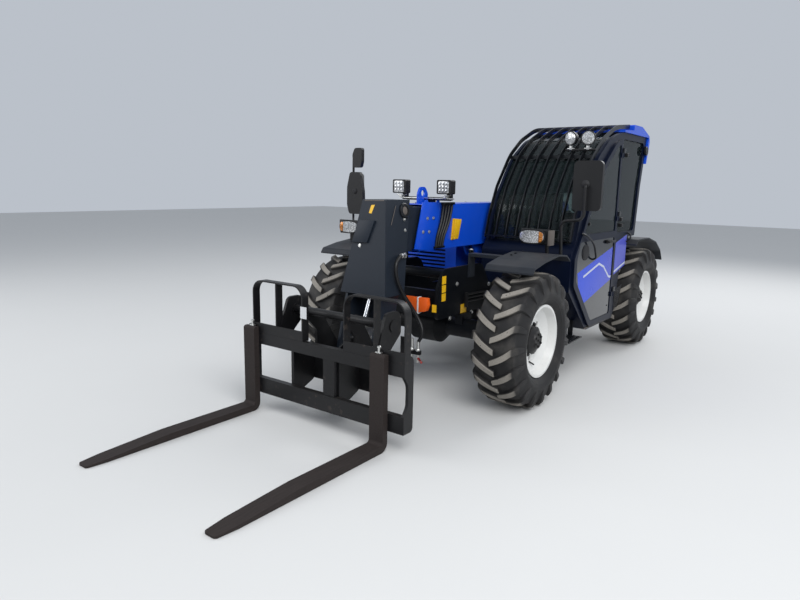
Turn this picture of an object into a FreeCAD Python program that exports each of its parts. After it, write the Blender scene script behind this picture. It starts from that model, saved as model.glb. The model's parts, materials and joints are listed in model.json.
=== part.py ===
"""Compact telehandler with a side cab, a two stage boom and pallet forks.

Millimetres, +Z up, front towards -Y, cab on the +X side, all four wheels steered.
The driving sizes are kept in the sheet; lengths along Y are counted from the front axle.
The origin lies on the ground under the middle of the overall box.
"""
import FreeCAD
import Part
import Sketcher
import math
import os

SIZES = (
    # ground line, axles and track
    ("origin_behind_front_axle", 282),
    ("wheelbase", 2640),
    ("wheel_centre_x", 855),
    ("kingpin_x", 660),
    # tyres
    ("tyre_radius", 522),
    ("tyre_half_width", 195),
    ("tyre_bulge_radius", 355),
    ("tyre_shoulder_x", 158),
    ("tyre_shoulder_radius", 482),
    ("tyre_bead_play", 0.3),
    ("tyre_flange_play", 3),
    ("tyre_side_count", 24),
    ("tyre_side_turn", 3),
    ("lug_count", 19),
    ("lug_half_width", 25),
    ("lug_sweep_angle", 13),
    ("lug_side_depth", 62),
    ("lug_sink", 12),
    ("lug_foot_rise", 8),
    ("lug_past_middle", 14),
    # rims and hubs
    ("rim_half_width", 159),
    ("rim_flange_thickness", 9),
    ("rim_flange_radius", 280),
    ("rim_seat_radius", 262),
    ("rim_barrel_wall", 12),
    ("rim_disc_x", 50),
    ("rim_disc_thickness", 12),
    ("rim_dish_radius", 188),
    ("rim_slot_count", 8),
    ("rim_slot_radius", 19),
    ("rim_slot_circle", 150),
    ("hub_pilot_radius", 110),
    ("hub_flange_radius", 128),
    ("hub_flange_thickness", 14),
    ("hub_nose_x", 130),
    ("hub_nose_radius", 62),
    ("hub_back_radius", 92),
    ("spindle_radius", 40),
    ("spindle_depth", 80),
    ("spindle_boss_radius", 78),
    ("hub_back_x", -90),
    ("running_play", 0.3),
    ("side_play", 5),
    # axles and knuckles
    ("axle_tube_radius", 78),
    ("axle_bowl_radius", 150),
    ("axle_bowl_half_width", 120),
    ("axle_bowl_taper", 70),
    ("yoke_inner_half_height", 100),
    ("yoke_plate", 26),
    ("yoke_half_width", 60),
    ("yoke_root", 46),
    ("yoke_reach", 46),
    ("yoke_notch_y", 42),
    ("yoke_notch_height", 60),
    ("kingpin_radius", 24),
    ("knuckle_boss_radius", 52),
    ("axle_pad_half", 32),
    ("axle_pad_length", 75),
    ("steer_arm_length", 165),
    ("steer_arm_width", 36),
    ("steer_arm_thickness", 26),
    ("steer_eye_inset", 30),
    ("steer_rod_radius", 16),
    ("steer_barrel_radius", 34),
    ("steer_barrel_half", 150),
    ("steer_eye_radius", 24),
    ("steer_eye_height", 40),
    # chassis side plates
    ("frame_half_width", 330),
    ("frame_plate", 22),
    ("frame_front_y", -420),
    ("frame_rear_y", 3020),
    ("frame_top_z", 780),
    ("frame_nose_z", 1040),
    ("frame_nose_end_y", 260),
    ("frame_axle_z", 650),
    ("frame_axle_clear", 330),
    ("frame_belly_z", 430),
    ("frame_cross_y", -270),
    ("frame_cross_z", 990),
    ("frame_cross_radius", 38),
    ("belly_plate", 10),
    # boom slot, tower and counterweight
    ("boom_x", -65),
    ("boom_half_width", 115),
    ("boom_bottom_z", 1150),
    ("boom_top_z", 1520),
    ("boom_wall", 8),
    ("boom_rear_y", 2780),
    ("boom_front_bottom_y", -275),
    ("boom_front_top_y", -165),
    ("boom_pivot_y", 2680),
    ("boom_pivot_z", 1300),
    ("boom_pivot_radius", 32),
    ("boom_boss_radius", 70),
    ("boom_side_gap", 8),
    ("tower_plate", 25),
    ("tower_front_y", 2240),
    ("tower_head_half", 110),
    ("tower_foot_z", 690),
    ("counterweight_front_y", 3020),
    ("counterweight_rear_y", 3300),
    ("counterweight_bottom_z", 470),
    ("counterweight_top_z", 1010),
    ("counterweight_half_width", 315),
    ("counterweight_chamfer", 90),
    ("hitch_pin_radius", 16),
    ("hitch_z", 560),
    ("hitch_ear", 22),
    ("hitch_gap", 70),
    ("hitch_reach", 24),
    ("hitch_half_width", 80),
    ("hitch_inset", 60),
    ("hitch_access", 170),
    # inner boom
    ("inner_half_width", 92),
    ("inner_bottom_z", 1172),
    ("inner_top_z", 1498),
    ("inner_rear_y", 2440),
    ("inner_front_y", -360),
    ("inner_wall", 8),
    ("wear_pad", 10),
    # boom head
    ("head_top_z", 1556),
    ("head_bottom_z", 860),
    ("head_top_half", 108),
    ("head_bottom_half", 215),
    ("head_top_front_y", -708),
    ("head_top_rear_y", -405),
    ("head_bottom_front_y", -835),
    ("head_bottom_rear_y", -600),
    ("head_wall", 12),
    ("collar_half_width", 104),
    ("collar_bottom_z", 1160),
    ("collar_top_z", 1510),
    ("arm_offset", 148),
    ("arm_plate", 22),
    ("arm_boss_radius", 66),
    # carriage pivot and coupler
    ("tilt_pivot_y", -880),
    ("tilt_pivot_z", 320),
    ("tilt_pin_radius", 24),
    ("coupler_plate", 25),
    ("coupler_face_y", -1130),
    ("coupler_beam_bottom_z", 250),
    ("coupler_beam_top_z", 480),
    ("coupler_beam_half", 330),
    ("coupler_beam_depth", 60),
    ("hook_y", -1195),
    ("hook_z", 765),
    ("hook_tube_radius", 29),
    ("hook_lip", 14),
    # carriage
    ("carriage_x", 20),
    ("carriage_half_width", 715),
    ("carriage_front_y", -1382),
    ("carriage_bar_depth", 44),
    ("upper_bar_bottom_z", 505),
    ("upper_bar_top_z", 590),
    ("lower_bar_bottom_z", 135),
    ("lower_bar_top_z", 250),
    ("end_plate", 22),
    ("end_plate_rear_y", -1285),
    ("end_plate_top_z", 640),
    ("upright_x", 97),
    ("upright_half", 50),
    ("hoop_top_z", 975),
    ("hoop_rail_z", 660),
    ("hoop_strip", 10),
    ("hoop_depth", 60),
    ("hoop_round", 90),
    ("ear_plate", 22),
    ("ear_left_x", 490),
    ("ear_right_x", -403),
    ("ear_disc_radius", 40),
    # forks
    ("fork_right_x", -643),
    ("fork_left_x", 553),
    ("fork_half_width", 57),
    ("fork_shank_front_y", -1427),
    ("fork_thickness", 45),
    ("fork_length", 1309),
    ("fork_shank_top_z", 634),
    ("fork_tip_thickness", 12),
    ("fork_taper_length", 560),
    ("fork_tip_half_width", 44),
    ("fork_heel_radius", 60),
    ("fork_ground", 3),
    # tilt cylinder
    ("tilt_base_y", -510),
    ("tilt_base_z", 1380),
    ("tilt_eye_y", -860),
    ("tilt_eye_z", 520),
    ("tilt_barrel_radius", 42),
    ("tilt_bore_radius", 34),
    ("tilt_rod_radius", 20),
    ("tilt_barrel_length", 550),
    ("tilt_pin_small", 18),
    ("tilt_eye_radius", 36),
    ("tilt_eye_half_width", 26),
    ("tilt_lug", 16),
    # lift cylinder
    ("lift_base_y", 2300),
    ("lift_base_z", 780),
    ("lift_eye_y", 800),
    ("lift_eye_z", 1080),
    ("lift_barrel_radius", 58),
    ("lift_bore_radius", 48),
    ("lift_rod_radius", 32),
    ("lift_barrel_length", 1330),
    ("lift_pin_radius", 25),
    ("lift_eye_radius", 50),
    ("lift_eye_half_width", 36),
    ("lift_lug", 20),
    ("cylinder_cap", 40),
    ("gland_length", 60),
    ("piston_length", 60),
    # cab
    ("cab_inner_x", 90),
    ("cab_inner_plate", 28),
    ("cab_side_x", 895),
    ("cab_side_plate", 40),
    ("cab_shelf_z", 815),
    ("cab_skin", 14),
    ("b_pillar_front_y", 1715),
    ("b_pillar_rear_y", 1805),
    ("glass_inset", 11),
    ("glass_thickness", 5),
    ("side_window_z", 1290),
    ("quarter_sill_z", 1250),
    ("window_margin", 62),
    ("roof_overhang", 20),
    # door
    ("door_gap", 0.5),
    ("door_thickness", 22),
    ("door_lap", 18),
    ("door_rail", 44),
    ("door_middle_z", 1215),
    ("door_middle_height", 60),
    ("door_hinge_y", 1742),
    ("door_hinge_out", 14),
    ("door_hinge_radius", 9),
    ("door_hinge_length", 42),
    ("door_hinge_low_z", 640),
    ("door_hinge_mid_z", 1370),
    ("door_hinge_top_z", 1960),
    # guard over the cab
    ("guard_left_x", 900),
    ("guard_right_x", 96),
    ("guard_bar", 8),
    ("guard_count", 9),
    ("guard_depth", 40),
    # bonnet and engine bay on the right
    ("hood_outer_x", 930),
    ("hood_inner_x", 225),
    ("hood_bottom_z", 806),
    ("engine_front_y", 740),
    ("engine_rear_y", 1930),
    ("engine_bottom_z", 470),
    ("hood_wall", 6),
    ("hood_hinge_z", 1150),
    ("hood_hinge_radius", 10),
    ("hood_slot", 18),
    ("hood_slot_count", 8),
    ("engine_block_front_y", 1000),
    ("engine_block_rear_y", 1750),
    ("engine_block_inner_x", 400),
    ("engine_block_outer_x", 840),
    ("engine_block_top_z", 1080),
    # mudguards
    ("fender_inner_x", 640),
    ("fender_outer_x", 1030),
    ("fender_plate", 12),
    # seat and controls
    ("seat_x", 560),
    ("seat_half_width", 235),
    ("seat_front_y", 1325),
    ("seat_rear_y", 1815),
    ("seat_base_z", 845),
    ("seat_height", 125),
    ("seat_back_z", 1600),
    ("wheel_rim_radius", 190),
    ("wheel_rim_tube", 14),
    ("column_radius", 26),
    ("column_top_y", 1250),
    ("column_top_z", 1170),
    ("column_foot_y", 1120),
    ("column_foot_z", 700),
    # lamps, mirrors and steps
    ("headlamp_x", 760),
    ("headlamp_half_width", 120),
    ("headlamp_y", 330),
    ("headlamp_depth", 95),
    ("headlamp_bottom_z", 1215),
    ("headlamp_top_z", 1345),
    ("boom_lamp_y", -105),
    ("boom_lamp_offset", 220),
    ("boom_lamp_half", 66),
    ("boom_lamp_depth", 70),
    ("boom_lamp_bottom_z", 1600),
    ("boom_lamp_top_z", 1712),
    ("lamp_bar_radius", 14),
    ("pole_foot_x", 985),
    ("pole_foot_y", 150),
    ("pole_x", 1147),
    ("pole_y", 314),
    ("pole_bend_z", 1330),
    ("pole_radius", 11),
    ("pole_top_z", 1934),
    ("right_lamp_x", 935),
    ("right_lamp_y", 25),
    ("mirror_x", 1060),
    ("mirror_half_width", 118),
    ("mirror_y", 590),
    ("mirror_depth", 40),
    ("mirror_bottom_z", 1490),
    ("mirror_top_z", 1885),
    ("mirror_arm_radius", 13),
)

PROFILES = (
    # outlines in the side view, each row is a corner: Y, Z and corner radius
    ("cab_outline", (
        (672, 800, 0), (672, 1115, 60), (748, 1205, 60), (865, 1562, 500), (1142, 1927, 500),
        (1425, 2106, 500), (1760, 2195, 600), (2540, 2195, 30), (2500, 1930, 0), (2450, 1700, 0),
        (2390, 1195, 20), (2160, 1195, 60), (2050, 1010, 120), (1965, 800, 200), (1930, 560, 120),
        (1850, 400, 40), (1130, 400, 60),
    )),
    ("door_opening", (
        (735, 860, 60), (722, 1075, 60), (858, 1262, 200), (1066, 1610, 600), (1310, 1885, 500),
        (1560, 2062, 300), (1715, 2110, 0), (1715, 445, 40), (1165, 445, 120),
    )),
    ("guard_line", (
        (690, 1222, 0), (750, 1430, 300), (866, 1676, 400), (1100, 1970, 500), (1330, 2126, 500),
        (1640, 2250, 700), (2039.7, 2288, 0),
    )),
    ("roof_line", (
        (1765, 2214, 0), (2040, 2230, 0), (2040, 2284, 14), (2300, 2284, 60), (2570, 2210, 30),
        (2592, 2150, 20), (2528, 1930, 0), (2510, 1930, 0), (2549, 2195.3, 0), (1765, 2195.3, 0),
    )),
    ("tall_mirror", (
        (-1152, 1385, 30), (-1007, 1385, 30), (-981, 1463, 60), (-986, 1598, 200),
        (-1017, 1779, 30), (-1142, 1779, 30), (-1178, 1639, 200), (-1178, 1473, 60),
    )),
    ("wide_mirror", (
        (-1102, 1820, 25), (-1015, 1820, 25), (-999, 1877, 60), (-999, 2002, 20),
        (-1085, 2002, 30), (-1113, 1940, 60),
    )),
    ("hood_side", (
        (740, 806, 0), (740, 1170, 90), (860, 1340, 160), (1300, 1400, 400), (2700, 1345, 200),
        (3040, 1260, 60), (3052, 1166.3, 10), (2165, 1166.3, 10), (2110, 985, 100), (1990, 806, 0),
    )),
    ("front_fender", (
        (-262, 1064, 0), (-236, 1100, 30), (-60, 1136, 150), (190, 1166, 150), (345, 1152, 60),
        (420, 1106, 0),
    )),
    ("rear_fender", (
        (2176, 1118, 0), (2240, 1166, 40), (2600, 1166, 200), (2900, 1106, 150), (3110, 1000, 120),
        (3204, 890, 0),
    )),
)


class Dim:
    """A driving size, or a formula of them, as its value and the text that the model is bound to."""

    def __init__(self, text, value):
        self.text = text
        self.value = value

    def __add__(self, other):
        other = dim(other)
        return Dim("(%s + %s)" % (self.text, other.text), self.value + other.value)

    def __sub__(self, other):
        other = dim(other)
        return Dim("(%s - %s)" % (self.text, other.text), self.value - other.value)

    def __mul__(self, other):
        other = dim(other)
        return Dim("(%s * %s)" % (self.text, other.text), self.value * other.value)

    def __truediv__(self, other):
        other = dim(other)
        return Dim("(%s / %s)" % (self.text, other.text), self.value / other.value)

    def __radd__(self, other):
        return dim(other) + self

    def __rsub__(self, other):
        return dim(other) - self

    def __rmul__(self, other):
        return dim(other) * self

    def __neg__(self):
        return Dim("(0 - %s)" % self.text, -self.value)


def dim(value):
    """A plain number as a Dim."""
    if isinstance(value, Dim):
        return value
    return Dim("%r" % value, float(value))


class Sizes:
    """The sheet of driving sizes; every size is an attribute."""

    def __init__(self, doc):
        sheet = doc.addObject("Spreadsheet::Sheet", "sizes")
        rows = list(SIZES)
        for name, corners in PROFILES:
            for index, corner in enumerate(corners, 1):
                for letter, value in zip("yzr", corner):
                    rows.append(("%s_%s%d" % (name, letter, index), value))
        for row, (name, value) in enumerate(rows, 1):
            sheet.set("A%d" % row, name)
            sheet.set("B%d" % row, str(value))
            sheet.setAlias("B%d" % row, name)
        doc.recompute()
        for name, value in rows:
            setattr(self, name, Dim("sizes." + name, float(sheet.get(name))))

    def corners(self, profile):
        """The corners of a profile as (Y, Z, radius)."""
        count = len(dict(PROFILES)[profile])
        names = [(profile, index) for index in range(1, count + 1)]
        return [tuple(getattr(self, "%s_%s%d" % (name, letter, index)) for letter in "yzr")
                for name, index in names]


doc = FreeCAD.newDocument("telehandler")
size = Sizes(doc)
vector = FreeCAD.Vector
PLANES = {"YZ": "YZ_Plane", "XZ": "XZ_Plane", "XY": "XY_Plane"}
TURNS = {"Z": (vector(0, 0, 1), 0), "X": (vector(0, 1, 0), 90), "Y": (vector(1, 0, 0), -90)}


def move(obj, x=0, y=0, z=0):
    """Places an object; Y is counted from the front axle."""
    y = dim(y) - size.origin_behind_front_axle
    for letter, value in zip("xyz", (dim(x), y, dim(z))):
        obj.setExpression("Placement.Base." + letter, value.text)
    return obj


def turn(obj, axis, angle):
    """Turns an object about one axis through its own origin."""
    angle = dim(angle)
    obj.Placement = FreeCAD.Placement(vector(), FreeCAD.Rotation(axis, angle.value))
    obj.setExpression("Placement.Rotation.Angle", angle.text)


def aim(obj, start, end, x):
    """Places an object made along its own Z so that Z runs from start to end in the side view."""
    rise = end[1] - start[1]
    run = end[0] - start[0]
    text = "atan2(0 - %s; %s)" % (run.text, rise.text)
    angle = Dim(text, math.degrees(math.atan2(-run.value, rise.value)))
    turn(obj, vector(1, 0, 0), angle)
    return move(obj, x, start[0], start[1])


def bind(sketch, kind, items, value):
    """Adds one dimension of a sketch and binds it to the sheet."""
    value = dim(value)
    index = sketch.addConstraint(Sketcher.Constraint(kind, *items, value.value))
    sketch.setExpression("Constraints[%d]" % index, value.text)


def pin_point(sketch, geometry, position, u, v):
    """Fixes a point of a sketch by its two coordinates."""
    bind(sketch, "DistanceX", (-1, 1, geometry, position), u)
    bind(sketch, "DistanceY", (-1, 1, geometry, position), v)


def tangent_points(before, corner, after):
    """Where the round of a corner starts and ends, its centre and whether it turns left."""
    here = vector(corner[0].value, corner[1].value, 0)
    back = (vector(before[0].value, before[1].value, 0) - here).normalize()
    ahead = (vector(after[0].value, after[1].value, 0) - here).normalize()
    half = back.getAngle(ahead) / 2
    reach = corner[2].value / math.tan(half)
    middle = (back + ahead).normalize()
    centre = here + middle * (corner[2].value / math.sin(half))
    left = back.cross(ahead).z < 0
    return here + back * reach, here + ahead * reach, centre, left


def draw_loop(sketch, corners):
    """Draws a closed outline of straight runs with round corners where a radius is given."""
    corners = [tuple(dim(value) for value in corner) for corner in corners]
    count = len(corners)
    entry = []
    leave = []
    rounds = []
    for index, corner in enumerate(corners):
        if len(corner) > 2 and corner[2].value > 0:
            start, end, centre, left = tangent_points(corners[index - 1], corner,
                                                      corners[(index + 1) % count])
            rounds.append((start, end, centre, left))
        else:
            start = end = vector(corner[0].value, corner[1].value, 0)
            rounds.append(None)
        entry.append(start)
        leave.append(end)
    lines = []
    for index in range(count):
        line = Part.LineSegment(leave[index], entry[(index + 1) % count])
        lines.append(sketch.addGeometry(line, False))
    for index, corner in enumerate(corners):
        before = lines[index - 1]
        after = lines[index]
        if rounds[index] is None:
            sketch.addConstraint(Sketcher.Constraint("Coincident", before, 2, after, 1))
            pin_point(sketch, after, 1, corner[0], corner[1])
            continue
        start, end, centre, left = rounds[index]
        first, last = (start, end) if left else (end, start)
        low = math.atan2(first.y - centre.y, first.x - centre.x)
        high = math.atan2(last.y - centre.y, last.x - centre.x)
        circle = Part.Circle(centre, vector(0, 0, 1), corner[2].value)
        arc = sketch.addGeometry(Part.ArcOfCircle(circle, low, high), False)
        sides = (1, 2) if left else (2, 1)
        sketch.addConstraint(Sketcher.Constraint("Tangent", before, 2, arc, sides[0]))
        sketch.addConstraint(Sketcher.Constraint("Tangent", arc, sides[1], after, 1))
        bind(sketch, "Radius", (arc,), corner[2])
        point = vector(corner[0].value, corner[1].value, 0)
        mark = sketch.addGeometry(Part.Point(point), True)
        sketch.addConstraint(Sketcher.Constraint("PointOnObject", mark, 1, before))
        sketch.addConstraint(Sketcher.Constraint("PointOnObject", mark, 1, after))
        pin_point(sketch, mark, 1, corner[0], corner[1])


def new_sketch(body, name, plane):
    """A sketch on one of the body's own origin planes."""
    sketch = body.newObject("Sketcher::SketchObject", name)
    role = PLANES[plane]
    base = [item for item in body.Origin.OriginFeatures if item.Role == role][0]
    sketch.AttachmentSupport = [(base, "")]
    sketch.MapMode = "FlatFace"
    return sketch


def prism(name, plane, low, high, corners, windows=(), holes=()):
    """A padded outline between two levels along the plane's normal, with windows and round holes."""
    low = dim(low)
    high = dim(high)
    body = doc.addObject("PartDesign::Body", name)
    sketch = new_sketch(body, name + "_outline", plane)
    draw_loop(sketch, corners)
    for window in windows:
        draw_loop(sketch, window)
    for u, v, radius in holes:
        centre = vector(dim(u).value, dim(v).value, 0)
        ring = sketch.addGeometry(Part.Circle(centre, vector(0, 0, 1), dim(radius).value), False)
        bind(sketch, "Radius", (ring,), radius)
        pin_point(sketch, ring, 3, u, v)
    pad = body.newObject("PartDesign::Pad", name + "_pad")
    pad.Profile = sketch
    pad.setExpression("Length", (high - low).text)
    if plane == "YZ":
        return move(body, x=low)
    if plane == "XY":
        return move(body, z=low)
    return move(body, y=high)


def lathe(name, corners, along="X"):
    """A turned piece on its own origin: corners are (along the axis, radius)."""
    body = doc.addObject("PartDesign::Body", name)
    sketch = new_sketch(body, name + "_section", {"X": "XZ", "Y": "YZ", "Z": "XZ"}[along])
    if along == "Z":
        corners = [(corner[1], corner[0]) + tuple(corner[2:]) for corner in corners]
    draw_loop(sketch, corners)
    spin = body.newObject("PartDesign::Revolution", name + "_turned")
    spin.Profile = sketch
    spin.ReferenceAxis = (sketch, ["V_Axis" if along == "Z" else "H_Axis"])
    spin.Angle = 360
    return body


def box(name, x, y, z):
    """A block between two values along each axis."""
    block = doc.addObject("Part::Box", name)
    for prop, span in (("Length", x), ("Width", y), ("Height", z)):
        block.setExpression(prop, (dim(span[1]) - dim(span[0])).text)
    return move(block, x[0], y[0], z[0])


def rod(name, axis, start, length, radius):
    """A round bar from a point along one axis."""
    bar = doc.addObject("Part::Cylinder", name)
    bar.setExpression("Radius", dim(radius).text)
    bar.setExpression("Height", dim(length).text)
    direction, angle = TURNS[axis]
    bar.Placement = FreeCAD.Placement(vector(), FreeCAD.Rotation(direction, angle))
    return move(bar, *start)


def bent_tube(name, points, radius, bend):
    """A round tube along straight runs joined by tangent arcs."""
    radius = dim(radius).value
    shift = size.origin_behind_front_axle.value
    route = [vector(dim(x).value, dim(y).value - shift, dim(z).value) for x, y, z in points]
    edges = []
    here = route[0]
    for before, corner, after in zip(route, route[1:], route[2:]):
        back = (before - corner).normalize()
        ahead = (after - corner).normalize()
        half = back.getAngle(ahead) / 2
        reach = min(dim(bend).value / math.tan(half), (before - corner).Length * 0.45,
                    (after - corner).Length * 0.45)
        arc_radius = reach * math.tan(half)
        start = corner + back * reach
        end = corner + ahead * reach
        middle = (back + ahead).normalize()
        centre = corner + middle * (arc_radius / math.sin(half))
        crown = centre - middle * arc_radius
        edges.append(Part.LineSegment(here, start).toShape())
        edges.append(Part.Arc(start, crown, end).toShape())
        here = end
    edges.append(Part.LineSegment(here, route[-1]).toShape())
    path = Part.Wire(edges)
    ring = Part.Wire([Part.Circle(route[0], route[1] - route[0], radius).toShape()])
    tube = doc.addObject("Part::Feature", name)
    tube.Shape = path.makePipeShell([ring], True, False)
    return tube


def fuse(name, *items):
    """Several pieces welded into one."""
    joined = doc.addObject("Part::MultiFuse", name)
    joined.Shapes = list(items)
    return joined


def cut(name, base, *tools):
    """A piece with others taken out of it."""
    tool = tools[0]
    if len(tools) > 1:
        tool = fuse(name + "_tools", *tools)
    result = doc.addObject("Part::Cut", name)
    result.Base = base
    result.Tool = tool
    return result


def together(name, *items):
    """Pieces of one sub-part that don't touch."""
    group = doc.addObject("Part::Compound", name)
    group.Links = list(items)
    return group


def mirrored(name, source):
    """The same piece for the other side of the vehicle."""
    flipped = doc.addObject("Part::Mirroring", name)
    flipped.Source = source
    flipped.Base = vector()
    flipped.Normal = vector(1, 0, 0)
    return flipped


def band(corners, thickness):
    """A closed outline of a sheet that follows an open line, thickened downwards."""
    back = []
    for corner in reversed(corners):
        back.append((corner[0], corner[1] - thickness, corner[2]))
    return list(corners) + back


nodes = {}


def node(name, obj):
    """Registers a finished sub-part."""
    obj.Label = name
    nodes[name] = obj
    return obj


# one wheel about its own centre, outboard side towards +X

def facets(name, rows):
    """A solid of flat faces through rows of matching corners."""
    faces = [Part.Face(Part.makePolygon(row + row[:1])) for row in (rows[0], rows[-1])]
    for row, following in zip(rows, rows[1:]):
        for index in range(len(row)):
            other = (index + 1) % len(row)
            corners = [row[index], row[other], following[other], following[index]]
            faces.append(Part.Face(Part.makePolygon(corners + corners[:1])))
    solid = Part.makeSolid(Part.makeShell(faces))
    if solid.Volume < 0:
        solid.reverse()
    obj = doc.addObject("Part::Feature", name)
    obj.Shape = solid
    return obj


def tyre_ring(x, radius):
    """The corners of the tyre's many-sided outline at X."""
    sides = int(size.tyre_side_count.value)
    corners = []
    for index in range(sides):
        angle = math.radians(size.tyre_side_turn.value + 360.0 * index / sides)
        corners.append(vector(x, radius * math.sin(angle), radius * math.cos(angle)))
    return corners


def make_carcass():
    """The tyre's body without its lugs; its flat sides clear the round rim."""
    outside = 1 / math.cos(math.pi / size.tyre_side_count.value)
    inner = size.rim_half_width.value - size.rim_flange_thickness.value - size.tyre_bead_play.value
    seat = (size.rim_seat_radius.value + size.tyre_bead_play.value) * outside
    flange = (size.rim_flange_radius.value + size.tyre_flange_play.value) * outside
    half = [
        (inner, flange),
        (size.tyre_half_width.value, size.tyre_bulge_radius.value),
        (size.tyre_shoulder_x.value, size.tyre_shoulder_radius.value),
    ]
    rings = [tyre_ring(x, radius) for x, radius in half]
    rings += [tyre_ring(-x, radius) for x, radius in reversed(half)]
    bore = facets("tyre_bore", [tyre_ring(-inner * 2, seat), tyre_ring(inner * 2, seat)])
    return cut("carcass", facets("tyre_outline", rings), bore)


def lug_row(x, base, top, shift, half_width):
    """The four corners of a lug at X, shifted round the tyre, none past its top."""
    reach = abs(shift) + half_width
    low = math.sqrt(base * base - reach * reach)
    high = math.sqrt(top * top - reach * reach)
    return [vector(x, shift - half_width, low), vector(x, shift + half_width, low),
            vector(x, shift + half_width, high), vector(x, shift - half_width, high)]


def make_lugs():
    """The chevron lugs of one tyre, two staggered rows."""
    top = size.tyre_radius.value
    base = size.tyre_shoulder_radius.value - size.lug_sink.value
    wide = size.lug_half_width.value
    swing = top * math.radians(size.lug_sweep_angle.value) / 2
    edge = size.tyre_half_width.value - size.lug_sink.value / 2
    foot = size.tyre_bulge_radius.value + size.lug_foot_rise.value
    lug = facets("lug", [
        lug_row(-size.lug_past_middle.value, base, top, -swing, wide * 0.8),
        lug_row(size.tyre_shoulder_x.value, base, top - 8, swing * 0.9, wide * 1.1),
        lug_row(edge, foot, top - size.lug_side_depth.value, swing, wide * 1.05),
    ]).Shape
    count = int(size.lug_count.value)
    pitch = 360.0 / count
    other = lug.mirror(vector(), vector(1, 0, 0))
    other.rotate(vector(), vector(1, 0, 0), pitch / 2)
    lugs = []
    for step in range(count):
        for row, piece in (("a", lug), ("b", other)):
            bar = doc.addObject("Part::Feature", "lug_%s%d" % (row, step + 1))
            shape = piece.copy()
            shape.rotate(vector(), vector(1, 0, 0), pitch * step)
            bar.Shape = shape
            lugs.append(bar)
    return lugs


def make_rim():
    """The pressed rim with its disc and hand holes."""
    out = size.rim_half_width
    thin = size.rim_flange_thickness
    barrel = size.rim_seat_radius - size.rim_barrel_wall
    disc = size.rim_disc_x
    front = size.rim_disc_x + size.rim_disc_thickness
    bore = size.hub_pilot_radius + size.running_play
    shell = lathe("rim_turned", [
        (out, size.rim_flange_radius),
        (out - thin, size.rim_flange_radius),
        (out - thin, size.rim_seat_radius),
        (thin - out, size.rim_seat_radius),
        (thin - out, size.rim_flange_radius),
        (-out, size.rim_flange_radius),
        (-out, barrel),
        (disc + 34, barrel),
        (disc, size.rim_dish_radius),
        (disc, bore),
        (front, bore),
        (front, size.rim_dish_radius - 4),
        (front + 36, barrel - 8),
        (out - thin * 2, barrel + 6),
        (out, size.rim_seat_radius),
    ])
    body = shell
    sketch = new_sketch(body, "hand_hole", "YZ")
    circle = Part.Circle(vector(0, size.rim_slot_circle.value, 0), vector(0, 0, 1),
                         size.rim_slot_radius.value)
    ring = sketch.addGeometry(circle, False)
    bind(sketch, "Radius", (ring,), size.rim_slot_radius)
    bind(sketch, "DistanceX", (-1, 1, ring, 3), 0)
    bind(sketch, "DistanceY", (-1, 1, ring, 3), size.rim_slot_circle)
    pocket = body.newObject("PartDesign::Pocket", "hand_holes")
    pocket.Profile = sketch
    pocket.Type = "ThroughAll"
    pocket.Reversed = True
    doc.recompute()
    pattern = body.newObject("PartDesign::PolarPattern", "hand_hole_ring")
    pattern.Originals = [pocket]
    axis = [item for item in body.Origin.OriginFeatures if item.Role == "X_Axis"][0]
    pattern.Axis = (axis, [""])
    pattern.Angle = 360
    pattern.setExpression("Occurrences", size.rim_slot_count.text)
    body.Tip = pattern
    return body


def make_hub():
    """The wheel end of the axle, with a blind bore for the spindle."""
    bore = size.spindle_radius + size.running_play
    back = size.hub_back_x + size.running_play
    flange_back = size.rim_disc_x - size.hub_flange_thickness
    return lathe("hub_turned", [
        (back, bore),
        (back, size.hub_back_radius),
        (flange_back - 18, size.hub_back_radius),
        (flange_back, size.hub_flange_radius),
        (size.rim_disc_x, size.hub_flange_radius),
        (size.rim_disc_x, size.hub_pilot_radius),
        (size.rim_disc_x + 48, size.hub_pilot_radius - 6),
        (size.hub_nose_x - 12, size.hub_nose_radius + 8),
        (size.hub_nose_x, size.hub_nose_radius),
        (size.hub_nose_x, 0),
        (size.hub_back_x + size.spindle_depth + size.side_play, 0),
        (size.hub_back_x + size.spindle_depth + size.side_play, bore),
    ])


def make_knuckle():
    """A steering knuckle about the crossing of kingpin and wheel axis."""
    seat = size.wheel_centre_x + size.hub_back_x - size.kingpin_x
    height = size.yoke_inner_half_height - size.running_play
    pin_end = size.yoke_inner_half_height + size.yoke_plate
    pin = lathe("kingpin", [
        (-pin_end, 0), (-pin_end, size.kingpin_radius), (-height, size.kingpin_radius),
        (-height, size.knuckle_boss_radius), (height, size.knuckle_boss_radius),
        (height, size.kingpin_radius), (pin_end, size.kingpin_radius), (pin_end, 0),
    ], "Z")
    spindle = lathe("spindle", [
        (0, 0), (0, size.spindle_boss_radius - 10), (seat, size.spindle_boss_radius),
        (seat, size.spindle_radius), (seat + size.spindle_depth, size.spindle_radius),
        (seat + size.spindle_depth, 0),
    ])
    half = size.steer_arm_width / 2
    arm = prism("steer_arm", "XY", -size.steer_arm_thickness / 2, size.steer_arm_thickness / 2, [
        (-half, 0), (half, 0), (half, size.steer_arm_length, 16), (-half, size.steer_arm_length, 16),
    ], holes=[(0, size.steer_arm_length - size.steer_eye_inset, 12)])
    arm.setExpression("Placement.Base.y", "0")
    return fuse("knuckle_pieces", pin, spindle, arm)


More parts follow.
